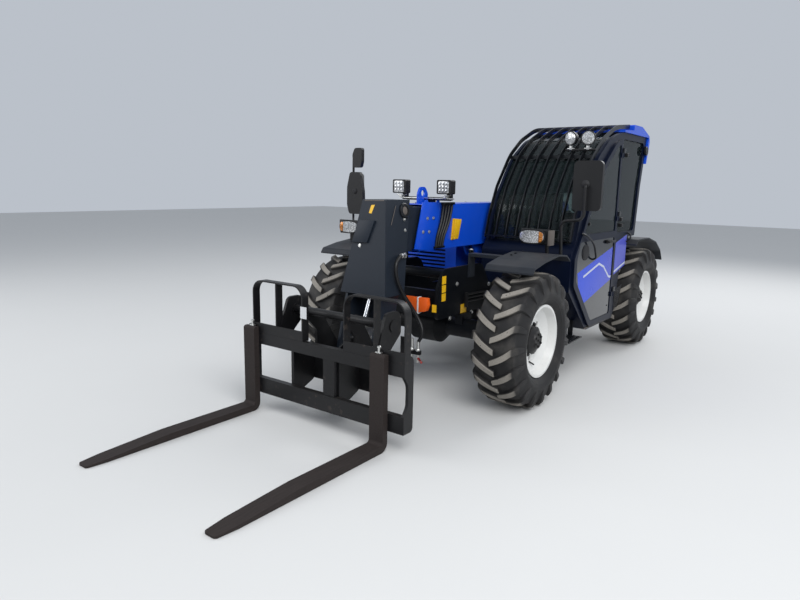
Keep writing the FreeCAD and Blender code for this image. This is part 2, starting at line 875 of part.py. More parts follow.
def build_wheels():
    """Four tyres, rims, hubs and knuckles; the right ones are mirrored."""
    tyre = fuse("tyre_pieces", make_carcass(), *make_lugs())
    tyre.Refine = False
    pieces = {"tyre": tyre, "rim": make_rim(), "hub": make_hub(), "knuckle": make_knuckle()}
    for kind, piece in pieces.items():
        other = mirrored(kind + "_flipped", piece)
        for end, y in (("front", 0), ("rear", size.wheelbase)):
            for side, source, sign in (("left", piece, 1), ("right", other, -1)):
                name = "%s_%s_%s" % (kind, end, side)
                centre = size.kingpin_x if kind == "knuckle" else size.wheel_centre_x
                move(node(name, together(name, source)), centre * sign, y, size.tyre_radius)


# axles

def yoke_notch(tag, sign, root, y, z):
    """The room in a yoke's web for the steering arm at full lock."""
    if sign > 0:
        span = (root - 1, root + size.yoke_root + 1)
    else:
        span = (-root - size.yoke_root - 1, 1 - root)
    return box("yoke_notch_" + tag, span, (y + size.yoke_notch_y, y + size.yoke_half_width + 1),
               (z - size.yoke_notch_height, z + size.yoke_notch_height))


def steer_place():
    """How far behind and above the axle line the steering cylinder lies."""
    rise = size.steer_arm_thickness / 2 + size.running_play + size.steer_eye_height / 2
    return size.steer_arm_length - size.steer_eye_inset, size.tyre_radius + rise


def build_steer_rod(end, y):
    """The through rod of a steering cylinder with an eye over each steering arm."""
    back, z = steer_place()
    half = size.kingpin_x
    parts = [rod("steer_stem_" + end, "X", (-half, y + back, z), half * 2, size.steer_rod_radius)]
    for side, sign in (("left", 1), ("right", -1)):
        parts.append(rod("steer_eye_%s_%s" % (end, side), "Z",
                         (half * sign, y + back, z - size.steer_eye_height / 2),
                         size.steer_eye_height, size.steer_eye_radius))
    node("steer_rod_" + end, fuse("steer_rod_pieces_" + end, *parts))


def build_axle(end, y):
    """An axle beam with its bowl, a yoke at each end and the steering cylinder's barrel."""
    z = size.tyre_radius
    root = size.kingpin_x - size.yoke_half_width - size.yoke_root
    bowl = size.axle_bowl_half_width
    taper = bowl + size.axle_bowl_taper
    half_beam = [
        (bowl, size.axle_bowl_radius), (taper, size.axle_tube_radius), (root, size.axle_tube_radius),
        (root, 0),
    ]
    other = [(-corner[0], corner[1]) for corner in reversed(half_beam)]
    beam = move(lathe("beam_" + end, half_beam + other), 0, y, z)
    parts = [beam]
    inner = size.yoke_inner_half_height
    outer = inner + size.yoke_plate
    tip = size.kingpin_x + size.yoke_reach
    for side, sign in (("left", 1), ("right", -1)):
        tag = "%s_%s" % (end, side)
        yoke = prism("yoke_" + tag, "XZ", y - size.yoke_half_width, y + size.yoke_half_width, [
            (root * sign, z - outer), (tip * sign, z - outer, 10), (tip * sign, z - inner, 10),
            ((root + size.yoke_root) * sign, z - inner, 5),
            ((root + size.yoke_root) * sign, z + inner, 5),
            (tip * sign, z + inner, 10), (tip * sign, z + outer, 10), (root * sign, z + outer),
        ])
        hole = rod("kingpin_hole_" + tag, "Z", (size.kingpin_x * sign, y, z - outer - 1),
                   outer * 2 + 2, size.kingpin_radius + size.running_play)
        parts.append(cut("yoke_bored_" + tag, yoke, hole, yoke_notch(tag, sign, root, y, z)))
        pad_mid = (size.frame_half_width - size.frame_plate / 2) * sign
        parts.append(box("axle_pad_" + tag, (pad_mid - size.axle_pad_half, pad_mid + size.axle_pad_half),
                         (y - size.axle_pad_length, y + size.axle_pad_length),
                         (z + size.axle_tube_radius / 2, size.frame_axle_z)))
    back, high = steer_place()
    reach = size.steer_barrel_half
    parts.append(rod("steer_barrel_" + end, "X", (-reach, y + back, high), reach * 2,
                     size.steer_barrel_radius))
    bore = rod("steer_bore_" + end, "X", (-reach * 2, y + back, high), reach * 4,
               size.steer_rod_radius + size.running_play)
    build_steer_rod(end, y)
    return cut("axle_bored_" + end, fuse("axle_pieces_" + end, *parts), bore)


# chassis

def frame_side(name, low, high):
    """One longitudinal side plate."""
    axle_front = -size.frame_axle_clear
    return prism(name, "YZ", low, high, [
        (size.frame_front_y, size.frame_axle_z, 40),
        (size.frame_axle_clear, size.frame_axle_z, 60),
        (size.frame_axle_clear + 160, size.frame_belly_z, 60),
        (size.wheelbase - size.frame_axle_clear - 160, size.frame_belly_z, 60),
        (size.wheelbase - size.frame_axle_clear, size.frame_axle_z, 60),
        (size.frame_rear_y, size.frame_axle_z, 0),
        (size.frame_rear_y, size.frame_top_z, 0),
        (size.frame_nose_end_y + 180, size.frame_top_z, 120),
        (size.frame_nose_end_y, size.frame_nose_z, 120),
        (axle_front, size.frame_nose_z, 60),
        (size.frame_front_y, size.frame_nose_z - 150, 60),
    ])


def build_frame():
    """Side plates, cross members, boom tower, counterweight seat and cylinder ears."""
    outer = size.frame_half_width
    inner = outer - size.frame_plate
    parts = [frame_side("frame_left", inner, outer), frame_side("frame_right", -outer, -inner)]
    parts.append(rod("nose_tube", "X", (-inner - 2, size.frame_cross_y, size.frame_cross_z),
                     inner * 2 + 4, size.frame_cross_radius))
    belly_end = size.wheelbase - size.frame_axle_clear - 160
    parts.append(box("belly", (-inner - 2, inner + 2), (size.frame_axle_clear + 170, belly_end),
                     (size.frame_belly_z, size.frame_belly_z + size.belly_plate)))
    deck = size.frame_axle_z + size.belly_plate * 4
    parts.append(box("nose_deck", (-inner - 2, inner + 2),
                     (size.frame_front_y + 50, size.frame_front_y + 90),
                     (size.frame_axle_z + 8, size.frame_nose_z - 170)))
    parts.append(box("tail_deck", (-inner - 2, inner + 2),
                     (size.frame_rear_y - 60, size.frame_rear_y),
                     (size.frame_axle_z, size.frame_top_z)))
    for label, y in (("front", 0), ("rear", size.wheelbase)):
        parts.append(box("axle_saddle_" + label, (-inner - 2, inner + 2), (y - 170, y - 130),
                         (size.frame_axle_z, deck)))
        parts.append(box("axle_saddle_back_" + label, (-inner - 2, inner + 2), (y + 150, y + 190),
                         (size.frame_axle_z, deck)))
    gap = size.boom_half_width + size.boom_side_gap
    half = size.tower_head_half
    for side, low in (("left", size.boom_x + gap), ("right", size.boom_x - gap - size.tower_plate)):
        tower = prism("tower_" + side, "YZ", low, low + size.tower_plate, [
            (size.tower_front_y, size.tower_foot_z, 0),
            (size.frame_rear_y - 20, size.tower_foot_z, 0),
            (size.frame_rear_y - 40, size.frame_top_z, 60),
            (size.boom_pivot_y + half, size.boom_pivot_z + half, 90),
            (size.boom_pivot_y - half, size.boom_pivot_z + half, 90),
            (size.boom_pivot_y - half - 60, size.boom_pivot_z - 160, 120),
            (size.tower_front_y, size.lift_base_z + 100, 60),
        ], holes=[(size.boom_pivot_y, size.boom_pivot_z, size.boom_pivot_radius)])
        parts.append(tower)
        parts.append(tower_web("tower_web_" + side, side, low))
    parts.append(rod("boom_pin", "X", (size.boom_x - gap - size.tower_plate, size.boom_pivot_y,
                                       size.boom_pivot_z),
                     (gap + size.tower_plate) * 2, size.boom_pivot_radius))
    parts.append(rod("lift_base_pin", "X", (size.boom_x - gap - size.tower_plate, size.lift_base_y,
                                            size.lift_base_z),
                     (gap + size.tower_plate) * 2, size.lift_pin_radius))
    node("frame", fuse("frame_pieces", *parts))


def tower_web(name, side, low):
    """The cross plate that ties a tower plate to the side plate."""
    inner = size.frame_half_width - size.frame_plate
    if side == "left":
        span = (low + 2, inner + 2)
    else:
        span = (-inner - 2, low + size.tower_plate - 2)
    return box(name, span, (size.tower_front_y + 40, size.tower_front_y + 60),
               (size.tower_foot_z, size.frame_top_z))


def build_counterweight():
    """The cast weight behind the rear axle with the tow hitch."""
    half = size.counterweight_half_width
    rear = size.counterweight_rear_y - size.hitch_reach
    bevel = size.counterweight_chamfer
    block = prism("weight_block", "YZ", -half, half, [
        (size.counterweight_front_y, size.frame_top_z, 0),
        (size.counterweight_front_y, size.counterweight_bottom_z + bevel, 0),
        (size.counterweight_front_y + bevel, size.counterweight_bottom_z, 20),
        (rear - bevel / 2, size.counterweight_bottom_z, 30),
        (rear, size.counterweight_bottom_z + bevel, 40),
        (rear, size.counterweight_top_z - bevel, 60),
        (rear - bevel, size.counterweight_top_z, 60),
        (size.counterweight_front_y, size.counterweight_top_z, 0),
    ])
    span = (-size.hitch_half_width, size.hitch_half_width)
    deep = (rear - size.hitch_inset * 2, rear + size.hitch_inset)
    low = size.hitch_z - size.hitch_gap / 2
    high = size.hitch_z + size.hitch_gap / 2
    ear = size.hitch_ear
    pockets = [
        box("hitch_mouth", span, deep, (low, high)),
        box("hitch_under", span, deep, (size.counterweight_bottom_z - ear, low - ear)),
        box("hitch_over", span, deep, (high + ear, high + ear + size.hitch_access)),
        rod("hitch_bore", "Z", (0, rear - size.hitch_inset, low - ear * 2),
            size.hitch_gap + ear * 4, size.hitch_pin_radius),
    ]
    hinge_y = size.hood_side_y7 - size.hood_hinge_radius
    low_x, high_x = hood_knuckles()[0][1:]
    bracket = box("hood_bracket", (low_x, high_x), (hinge_y - 8, hinge_y + 8),
                  (size.counterweight_top_z - 4, size.hood_hinge_z))
    knuckle = rod("hood_knuckle", "X", (low_x, hinge_y, size.hood_hinge_z), high_x - low_x,
                  size.hood_hinge_radius)
    weight = cut("counterweight_cast", block, *pockets)
    node("counterweight", fuse("counterweight_pieces", weight, bracket, knuckle))


# cab

def shifted(corners, dy, dz):
    """The same corners moved in the side view."""
    return [(corner[0] + dy, corner[1] + dz, corner[2]) for corner in corners]


def cab_band(name, low, high, corners, inset, thickness):
    """A sheet that follows part of the cab's outline on its inner side; inset and thickness as (Y, Z)."""
    outer = shifted(corners, inset[0], inset[1])
    inner = shifted(corners, inset[0] + thickness[0], inset[1] + thickness[1])
    outer[0] = (outer[0][0], outer[0][1], dim(0))
    outer[-1] = (outer[-1][0], outer[-1][1], dim(0))
    inner[0] = (inner[0][0], inner[0][1], dim(0))
    inner[-1] = (inner[-1][0], inner[-1][1], dim(0))
    return prism(name, "YZ", low, high, outer + list(reversed(inner)))


def build_cab():
    """Side frames, tub, cowl and the panes of the cab."""
    line = size.corners("cab_outline")
    side_in = size.cab_side_x
    side_out = side_in + size.cab_side_plate
    margin = size.window_margin
    quarter = [
        (size.b_pillar_rear_y, size.quarter_sill_z, 40),
        (line[10][0] - margin + 8, size.quarter_sill_z, 60),
        (line[9][0] - margin, line[9][1], 0),
        (line[8][0] - margin, line[8][1], 0),
        (line[7][0] - margin, line[7][1] - margin, 50),
        (size.b_pillar_rear_y, line[6][1] - margin, 40),
    ]
    left = prism("cab_left", "YZ", side_in, side_out, line,
                 windows=[size.corners("door_opening"), quarter])
    inner_low = size.cab_inner_x
    inner_high = inner_low + size.cab_inner_plate
    shelf = size.cab_shelf_z
    inner_line = [(line[0][0], shelf, dim(0))] + line[1:13] + [(line[13][0] + 6, shelf, dim(0))]
    side_window = [
        (line[3][0] + margin - 30, size.side_window_z, 40),
        (line[3][0] + margin + 8, line[3][1], 300),
        (line[4][0] + margin, line[4][1] - margin, 300),
        (line[5][0] + margin / 2, line[5][1] - margin, 300),
        (line[6][0], line[6][1] - margin, 300),
        (line[7][0] - margin, line[7][1] - margin, 50),
        (line[8][0] - margin, line[8][1], 0),
        (line[9][0] - margin, line[9][1], 0),
        (line[10][0] - margin + 10, size.side_window_z, 60),
    ]
    right = prism("cab_right", "YZ", inner_low, inner_high, inner_line, windows=[side_window])
    skin = size.cab_skin
    span = (inner_high - 2, side_in + 2)
    low_x = size.frame_half_width + size.running_play
    low_span = (low_x, side_in + 2)
    low_line = [line[0], line[16], line[15], line[14], (line[13][0], line[13][1] + skin, dim(0))]
    low_line[0] = (line[0][0], line[0][1] + skin, dim(0))
    tub = cab_band("cab_tub", low_span[0], low_span[1], low_line, (dim(0), dim(0)), (dim(0), skin))
    wall = prism("cab_low_wall", "YZ", low_x, low_x + skin, [
        (low_line[0][0], low_line[0][1]), (line[16][0], line[16][1]), (line[15][0], line[15][1]),
        (line[14][0], line[14][1]), (line[13][0], low_line[4][1]),
    ])
    shelf_plate = box("cab_shelf", (inner_high - 2, low_x + skin),
                      (line[0][0], line[13][0]), (shelf, shelf + skin))
    bulkhead_line = [(line[13][0], shelf, dim(0)), line[12], line[11], line[10],
                     (line[10][0] + 9, size.side_window_z, dim(0))]
    bulkhead = cab_band("cab_bulkhead", span[0], span[1], bulkhead_line, (dim(0), dim(0)),
                        (-skin, skin))
    cowl = prism("cab_cowl", "YZ", span[0], span[1], [
        (line[0][0], shelf, 0), (line[1][0], line[1][1], 60), (line[2][0], line[2][1], 0),
        (line[2][0] + 30, line[2][1], 0), (line[1][0] + 70, line[1][1] - 30, 0),
        (line[0][0] + 34, shelf, 0),
    ])
    header = box("cab_header", span, (line[6][0] - 30, line[6][0] + 30),
                 (line[6][1] - 60, line[6][1]))
    rear_header = box("cab_rear_header", span, (line[7][0] - 95, line[7][0] - 46),
                      (line[7][1] - 60, line[7][1]))
    node("cab_frame", fuse("cab_pieces", left, right, tub, wall, shelf_plate, bulkhead, cowl, header,
                           rear_header))
    build_panes(line, quarter, side_window, span)


def build_panes(line, quarter, side_window, span):
    """Windscreen, side, quarter and rear panes."""
    play = size.running_play
    inset = size.glass_inset
    thin = size.glass_thickness
    low = span[0] + 2 + play
    high = span[1] - 2 - play
    start = (line[2][0] + 33, line[2][1] + 4, dim(0))
    stop = (line[6][0] - 60, line[6][1] - 16, dim(0))
    screen = cab_band("screen_pane", low, high, [start] + line[3:6] + [stop],
                      (inset, -inset), (thin, -thin))
    side_x = size.cab_inner_x + size.cab_inner_plate / 2
    side = prism("side_pane", "YZ", side_x - thin / 2, side_x + thin / 2,
                 inset_loop(side_window, play))
    quarter_x = size.cab_side_x + size.cab_side_plate / 2
    corner = prism("quarter_pane", "YZ", quarter_x - thin / 2, quarter_x + thin / 2,
                   inset_loop(quarter, play))
    sill = size.side_window_z + size.cab_skin + play
    rear = prism("rear_pane", "YZ", low, high, [
        (line[10][0] - 8, sill), (line[9][0] - 24, line[9][1]),
        (line[8][0] - 24, line[8][1]), (line[7][0] - 34, line[7][1] - 4),
        (line[7][0] - 34 - thin, line[7][1] - 4), (line[8][0] - 24 - thin, line[8][1]),
        (line[9][0] - 24 - thin, line[9][1]), (line[10][0] - 8 - thin, sill),
    ])
    node("cab_glass", together("cab_panes", screen, side, corner, rear))


def inset_loop(corners, gap):
    """A loop made smaller about its middle by a gap along each axis."""
    corners = [tuple(dim(value) for value in corner) for corner in corners]
    middle_y = sum(corner[0].value for corner in corners) / len(corners)
    middle_z = sum(corner[1].value for corner in corners) / len(corners)
    result = []
    for corner in corners:
        y = corner[0] - gap if corner[0].value > middle_y else corner[0] + gap
        z = corner[1] - gap if corner[1].value > middle_z else corner[1] + gap
        result.append((y, z) + tuple(corner[2:]))
    return result


def build_roof():
    """The blue roof panel behind the guard."""
    over = size.roof_overhang
    out = size.cab_side_x + size.cab_side_plate + over
    node("cab_roof", prism("roof_panel", "YZ", size.cab_inner_x, out, size.corners("roof_line")))


def build_guard():
    """Flat bars on edge that run from the cowl over the screen to the roof."""
    line = size.corners("guard_line")
    depth = size.guard_depth
    inner = [
        (line[0][0] + depth, line[0][1], dim(0)),
        (line[1][0] + depth, line[1][1] - depth / 4, line[1][2]),
        (line[2][0] + depth * 0.9, line[2][1] - depth * 0.42, line[2][2]),
        (line[3][0] + depth * 0.7, line[3][1] - depth * 0.72, line[3][2]),
        (line[4][0] + depth * 0.45, line[4][1] - depth * 0.88, line[4][2]),
        (line[5][0] + depth * 0.15, line[5][1] - depth, line[5][2]),
        (line[6][0], line[6][1] - depth, dim(0)),
    ]
    loop = line + list(reversed(inner))
    bar = prism("guard_bar", "YZ", 0, size.guard_bar, loop)
    count = int(size.guard_count.value)
    step = (size.guard_left_x - size.guard_right_x) / (count - 1)
    bars = []
    for index in range(count):
        copy = together("guard_bar_%d" % (index + 1), bar)
        copy.setExpression("Placement.Base.x", (size.guard_right_x + step * index).text)
        bars.append(copy)
    ends = (size.guard_right_x + 1, size.guard_left_x + size.guard_bar - 1)
    rails = [
        ("guard_foot", line[0][0] + 4, line[0][1] + 4, 30, 14),
        ("guard_rail_low", line[3][0] + 36, line[3][1] - 42, 14, 30),
        ("guard_rail_top", line[5][0] + 10, line[5][1] - 34, 30, 14),
    ]
    for label, y, z, deep, tall in rails:
        bars.append(box(label, ends, (y, y + deep), (z, z + tall)))
    sill = size.cab_outline_z3 + size.running_play
    for label, x in (("right", size.guard_right_x + 60), ("left", size.guard_left_x - 100)):
        bars.append(box("guard_bracket_" + label, (x, x + 40),
                        (line[0][0] + 26, size.cab_outline_y3 + 28), (sill, sill + 28)))
    node("roof_guard", fuse("guard_pieces", *bars))


# door

def door_corners(grow):
    """The door opening's outline made larger by a lap; the hinge side stays straight."""
    base = size.corners("door_opening")
    rear = size.door_hinge_y - 8
    return [
        (base[0][0] - grow, base[0][1] - grow / 2, base[0][2]),
        (base[1][0] - grow, base[1][1] + grow / 3, base[1][2]),
        (base[2][0] - grow, base[2][1] + grow / 3, base[2][2]),
        (base[3][0] - grow, base[3][1] + grow / 2, base[3][2]),
        (base[4][0] - grow * 0.7, base[4][1] + grow * 0.7, base[4][2]),
        (base[5][0] - grow / 2, base[5][1] + grow, base[5][2]),
        (rear, base[6][1] + grow, dim(30)),
        (rear, base[7][1] - grow, base[7][2]),
        (base[8][0] - grow / 2, base[8][1] - grow, base[8][2]),
    ]


def build_door():
    """Door frame with its hinge eyes, glass and lower panel."""
    low = size.cab_side_x + size.cab_side_plate + size.door_gap
    high = low + size.door_thickness
    outer = door_corners(size.door_lap)
    rail = size.door_rail
    middle = size.door_middle_z
    top = middle + size.door_middle_height
    base = size.corners("door_opening")
    rear = size.door_hinge_y - 8 - rail
    upper = [
        (base[2][0] + rail * 0.75, top, 30),
        (base[3][0] + rail * 0.6, base[3][1] - rail * 0.5, 600),
        (base[4][0] + rail * 0.4, base[4][1] - rail * 0.6, 500),
        (base[5][0] + rail * 0.2, base[5][1] - rail * 0.7, 300),
        (rear, base[6][1] - rail * 0.7, 20),
        (rear, top, 20),
    ]
    lower = [
        (base[0][0] + rail * 0.8, base[0][1] + rail * 0.6, 60),
        (base[1][0] + rail, base[1][1], 60),
        (base[1][0] + rail * 2.2, middle, 30),
        (rear, middle, 20),
        (rear, base[7][1] + rail * 0.7, 30),
        (base[8][0] + rail * 0.6, base[8][1] + rail * 0.7, 120),
    ]
    frame = prism("door_ring", "YZ", low, high, outer, windows=[upper, lower])
    hinge_x = low + size.door_thickness + size.door_hinge_out - size.door_hinge_radius
    parts = [frame]
    for label, z in hinge_rows():
        parts.append(rod("door_eye_" + label, "Z", (hinge_x, size.door_hinge_y, z),
                         size.door_hinge_length, size.door_hinge_radius))
        parts.append(box("door_leaf_" + label, (high - 2, hinge_x + 4),
                         (size.door_hinge_y - 46, size.door_hinge_y), (z, z + size.door_hinge_length)))
    node("door_frame", fuse("door_pieces", *parts))
    middle_x = (low + high) / 2
    thin = size.glass_thickness
    node("door_glass", prism("door_pane", "YZ", middle_x - thin / 2, middle_x + thin / 2,
                             inset_loop(upper, 1)))
    node("door_panel", prism("door_sheet", "YZ", middle_x - thin, middle_x + thin,
                             inset_loop(lower, 1)))


def hinge_rows():
    """The three hinges of the door."""
    return (("low", size.door_hinge_low_z), ("mid", size.door_hinge_mid_z),
            ("top", size.door_hinge_top_z))


def build_hinges():
    """The fixed halves of the door hinges on the rear pillar."""
    face = size.cab_side_x + size.cab_side_plate
    hinge_x = face + size.door_gap + size.door_thickness + size.door_hinge_out
    hinge_x = hinge_x - size.door_hinge_radius
    parts = []
    for label, z in hinge_rows():
        top = z + size.door_hinge_length + 1
        eye = rod("hinge_eye_" + label, "Z", (hinge_x, size.door_hinge_y, top),
                  size.door_hinge_length, size.door_hinge_radius)
        leaf = box("hinge_leaf_" + label, (face, hinge_x + 4),
                   (size.door_hinge_y + 2, size.door_hinge_y + 60),
                   (top, top + size.door_hinge_length))
        parts.append(fuse("hinge_" + label, eye, leaf))
    node("door_hinges", together("hinge_set", *parts))


# bonnet, mudguards and trim

def hood_core():
    """The hollow of the bonnet, open below: its outline moved inwards by the wall."""
    wall = size.hood_wall
    # for each corner of the outline: the walls that it moves rearwards and up, and its round grows
    moves = (
        (1, -1, 0), (1, -1, -1), (1, -1, -1), (0, -1, -1), (0, -1, -1),
        (-1, -1, -1), (-1, 1, -1), (-1, 1, 1), (-1, 0, -1), (-2, -1, 0),
    )
    corners = []
    for corner, (along, up, grow) in zip(size.corners("hood_side"), moves):
        corners.append((corner[0] + wall * along, corner[1] + wall * up, corner[2] + wall * grow))
    return prism("hood_core", "YZ", -size.hood_outer_x + wall, -size.hood_inner_x - wall, corners)


def hood_slots():
    """Air slots in the outer side and in the front of the bonnet."""
    tools = []
    wall = size.hood_wall
    pitch = size.hood_slot * 2
    for index in range(int(size.hood_slot_count.value)):
        low = size.engine_block_front_y + pitch * index * 1.5
        tools.append(box("side_slot_%d" % (index + 1), (-size.hood_outer_x - 1, wall * 2 - size.hood_outer_x),
                         (low, low + size.hood_slot), (1000, 1200)))
        z = size.hood_bottom_z + 60 + pitch * index
        tools.append(box("front_slot_%d" % (index + 1),
                         (-size.hood_outer_x + 120, -size.hood_inner_x - 120),
                         (size.engine_front_y - 1, size.engine_front_y + wall * 2),
                         (z, z + size.hood_slot)))
    return tools


def build_hood():
    """The hollow bonnet with its air slots and hinge eyes."""
    shell = prism("hood_shell", "YZ", -size.hood_outer_x, -size.hood_inner_x,
                  size.corners("hood_side"))
    hollow = cut("hood_hollow", shell, hood_core(), *hood_slots())
    rear = size.hood_side_y7 - size.hood_hinge_radius
    eyes = []
    for label, low, high in hood_knuckles()[1:]:
        eyes.append(rod("hood_eye_" + label, "X", (low, rear, size.hood_hinge_z), high - low,
                        size.hood_hinge_radius))
        eyes.append(box("hood_leaf_" + label, (low, high), (rear - 8, rear + 8),
                        (size.hood_hinge_z, size.hood_side_z7 + 2)))
    node("hood", fuse("hood_pieces", hollow, *eyes))


def hood_knuckles():
    """The fixed hinge knuckle and the two on the bonnet, each with its low and high X."""
    inner = -size.hood_inner_x
    return (("fixed", inner - 75, inner - 25), ("inner", inner - 24, inner - 2),
            ("outer", inner - 98, inner - 76))


def build_engine_bay():
    """The tray under the bonnet and the engine as one block standing on it."""
    wall = size.hood_wall
    inner = size.frame_half_width + size.running_play
    x = (-size.hood_outer_x, -inner)
    y = (size.engine_front_y, size.engine_rear_y)
    z = (size.engine_bottom_z, size.hood_bottom_z - 0.5)
    room = box("bay_room", (x[0] + wall, x[1] - wall), (y[0] + wall, y[1] - wall),
               (z[0] + wall, z[1] + wall))
    node("engine_bay", cut("bay_tray", box("bay_block", x, y, z), room))
    node("engine", box("engine_block", (-size.engine_block_outer_x, -size.engine_block_inner_x),
                       (size.engine_block_front_y, size.engine_block_rear_y),
                       (z[0] + wall + size.running_play, size.engine_block_top_z)))


def build_fenders():
    """Mudguards over the four wheels, each with its stay."""
    thick = size.fender_plate
    for label, profile in (("front", "front_fender"), ("rear", "rear_fender")):
        corners = size.corners(profile)
        sheet = prism(label + "_guard_sheet", "YZ", size.fender_inner_x, size.fender_outer_x,
                      band(corners, thick))
        if label == "front":
            root = size.frame_half_width + size.running_play
            low = corners[2][1] - 26
            stay = box("front_stay", (root, size.fender_inner_x + 60), (20, 110), (low, low + 26))
            post = box("front_stay_post", (root, root + 14), (20, 110), (940, low + 26))
            left = fuse("front_guard_left", sheet, stay, post)
            right = mirrored(label + "_guard_right", left)
        else:
            seat_z = size.cab_outline_z12 - size.running_play
            block = box("rear_guard_seat", (700, 880), (2260, 2370), (corners[1][1] - 4, seat_z))
            left = fuse("rear_guard_left", sheet, block)
            right = mirrored(label + "_guard_right", sheet)
        node("fenders_" + label, together(label + "_guards", left, right))


def build_seat():
    """Driver's seat on its pedestal."""
    x = size.seat_x
    half = size.seat_half_width
    base = size.seat_base_z
    top = base + size.seat_height
    floor = size.cab_outline_z17 + size.cab_skin
    pedestal = box("seat_pedestal", (x - half + 40, x + half - 30),
                   (size.seat_front_y + 50, size.seat_rear_y - 20), (floor + 0.5, base))
    cushion = prism("seat_cushion", "YZ", x - half, x + half, [
        (size.seat_front_y, base, 20), (size.seat_rear_y + 90, base, 20),
        (size.seat_rear_y + 90, top - 20, 20), (size.seat_rear_y, top - 25, 30),
        (size.seat_front_y, top, 50),
    ])
    back = prism("seat_backrest", "YZ", x - half + 15, x + half - 15, [
        (size.seat_rear_y - 10, top - 45, 20), (size.seat_rear_y + 90, top - 60, 30),
        (size.seat_rear_y + 190, size.seat_back_z, 40), (size.seat_rear_y + 100, size.seat_back_z, 40),
    ])
    node("seat", fuse("seat_pieces", pedestal, cushion, back))


def build_controls():
    """Dashboard, steering column and steering wheel."""
    front = size.cab_outline_y1 + 36
    left = size.cab_side_x - size.running_play
    right = size.cab_inner_x + size.cab_inner_plate + size.running_play
    desk = prism("dash_desk", "YZ", right, left, [
        (front + 44, size.cab_shelf_z + 60, 20), (front + 150, size.cab_shelf_z + 60, 30),
        (front + 210, 1060, 40), (front + 150, 1130, 40), (front + 46, 1090, 30),
    ])
    seat_centre = size.seat_x
    foot = (size.column_foot_y, size.column_foot_z)
    top = (size.column_top_y, size.column_top_z)
    column = lathe("steer_column", [
        (0, 0), (0, size.column_radius + 14), (60, size.column_radius + 14),
        (90, size.column_radius), (470, size.column_radius), (470, 46), (492, 46), (492, 0),
    ], "Z")
    aim(column, foot, top, seat_centre)
    arm = box("column_stay", (seat_centre - 30, seat_centre + 30), (front + 120, size.column_foot_y + 45),
              (size.cab_shelf_z + 90, size.cab_shelf_z + 150))
    node("dashboard", fuse("dash_pieces", desk, arm, column))
    ring = doc.addObject("Part::Torus", "steer_ring")
    ring.setExpression("Radius1", size.wheel_rim_radius.text)
    ring.setExpression("Radius2", size.wheel_rim_tube.text)
    reach = size.wheel_rim_radius - 2
    spokes = []
    for label, angle in (("one", 90), ("two", 210), ("three", 330)):
        spoke = doc.addObject("Part::Cylinder", "spoke_" + label)
        spoke.setExpression("Height", reach.text)
        spoke.setExpression("Radius", "8")
        across = FreeCAD.Rotation(vector(0, 1, 0), 90)
        around = FreeCAD.Rotation(vector(0, 0, 1), angle)
        spoke.Placement = FreeCAD.Placement(vector(), around.multiply(across))
        spokes.append(spoke)
    cap = rod("ring_cap", "Z", (0, 0, 0), 22, 44)
    cap.setExpression("Placement.Base.y", "0")
    cap.setExpression("Placement.Base.z", "0 - 11")
    wheel = fuse("steer_wheel", ring, cap, *spokes)
    carrier = together("steer_wheel_set", wheel)
    offset = 504 / math.hypot(top[0].value - foot[0].value, top[1].value - foot[1].value)
    centre = (foot[0] + (top[0] - foot[0]) * offset, foot[1] + (top[1] - foot[1]) * offset)
    ahead = (centre[0] + (top[0] - foot[0]), centre[1] + (top[1] - foot[1]))
    aim(carrier, centre, ahead, seat_centre)
    node("steering_wheel", carrier)


def headlamp_case(name, x, y):
    """A road lamp's case about a middle X, with its front at Y."""
    half = size.headlamp_half_width
    rear = y + size.headlamp_depth
    return prism(name, "YZ", x - half, x + half, [
        (y, size.headlamp_bottom_z, 12), (rear, size.headlamp_bottom_z + 20, 30),
        (rear, size.headlamp_top_z - 20, 30), (y - 12, size.headlamp_top_z, 12),
    ])


def build_lamps():
    """Road lamps: the left on an arm from the cab, the right on the mudguard."""
    x = size.headlamp_x
    left = headlamp_case("headlamp_case_left", x, size.headlamp_y)
    arm = bent_tube("headlamp_arm", [
        (x, size.headlamp_y + size.headlamp_depth - 6, (size.headlamp_bottom_z + size.headlamp_top_z) / 2),
        (x, size.headlamp_y + size.headlamp_depth + 120,
         (size.headlamp_bottom_z + size.headlamp_top_z) / 2),
        (x, size.headlamp_y + size.headlamp_depth + 170, 1075),
        (x, size.cab_outline_y1 - 0.3, 1075),
    ], 16, 60)
    lamp = fuse("headlamp_left", left, arm)
    right_x = -size.right_lamp_x
    right_case = headlamp_case("headlamp_case_right", right_x, size.right_lamp_y)
    foot_y = size.right_lamp_y + size.headlamp_depth / 2
    right_foot = box("headlamp_foot", (right_x - 24, right_x + 24), (foot_y - 20, foot_y + 20),
                     (guard_top(foot_y + 20), size.headlamp_bottom_z + 40))
    node("headlamps", together("headlamp_set", lamp,
                               fuse("headlamp_right", right_case, right_foot)))


def guard_top(y):
    """A hair above the front mudguard's upper face at Y, on its long straight run."""
    line = size.corners("front_fender")
    slope = (line[3][1] - line[2][1]) / (line[3][0] - line[2][0])
    return line[2][1] + (y - line[2][0]) * slope + size.running_play


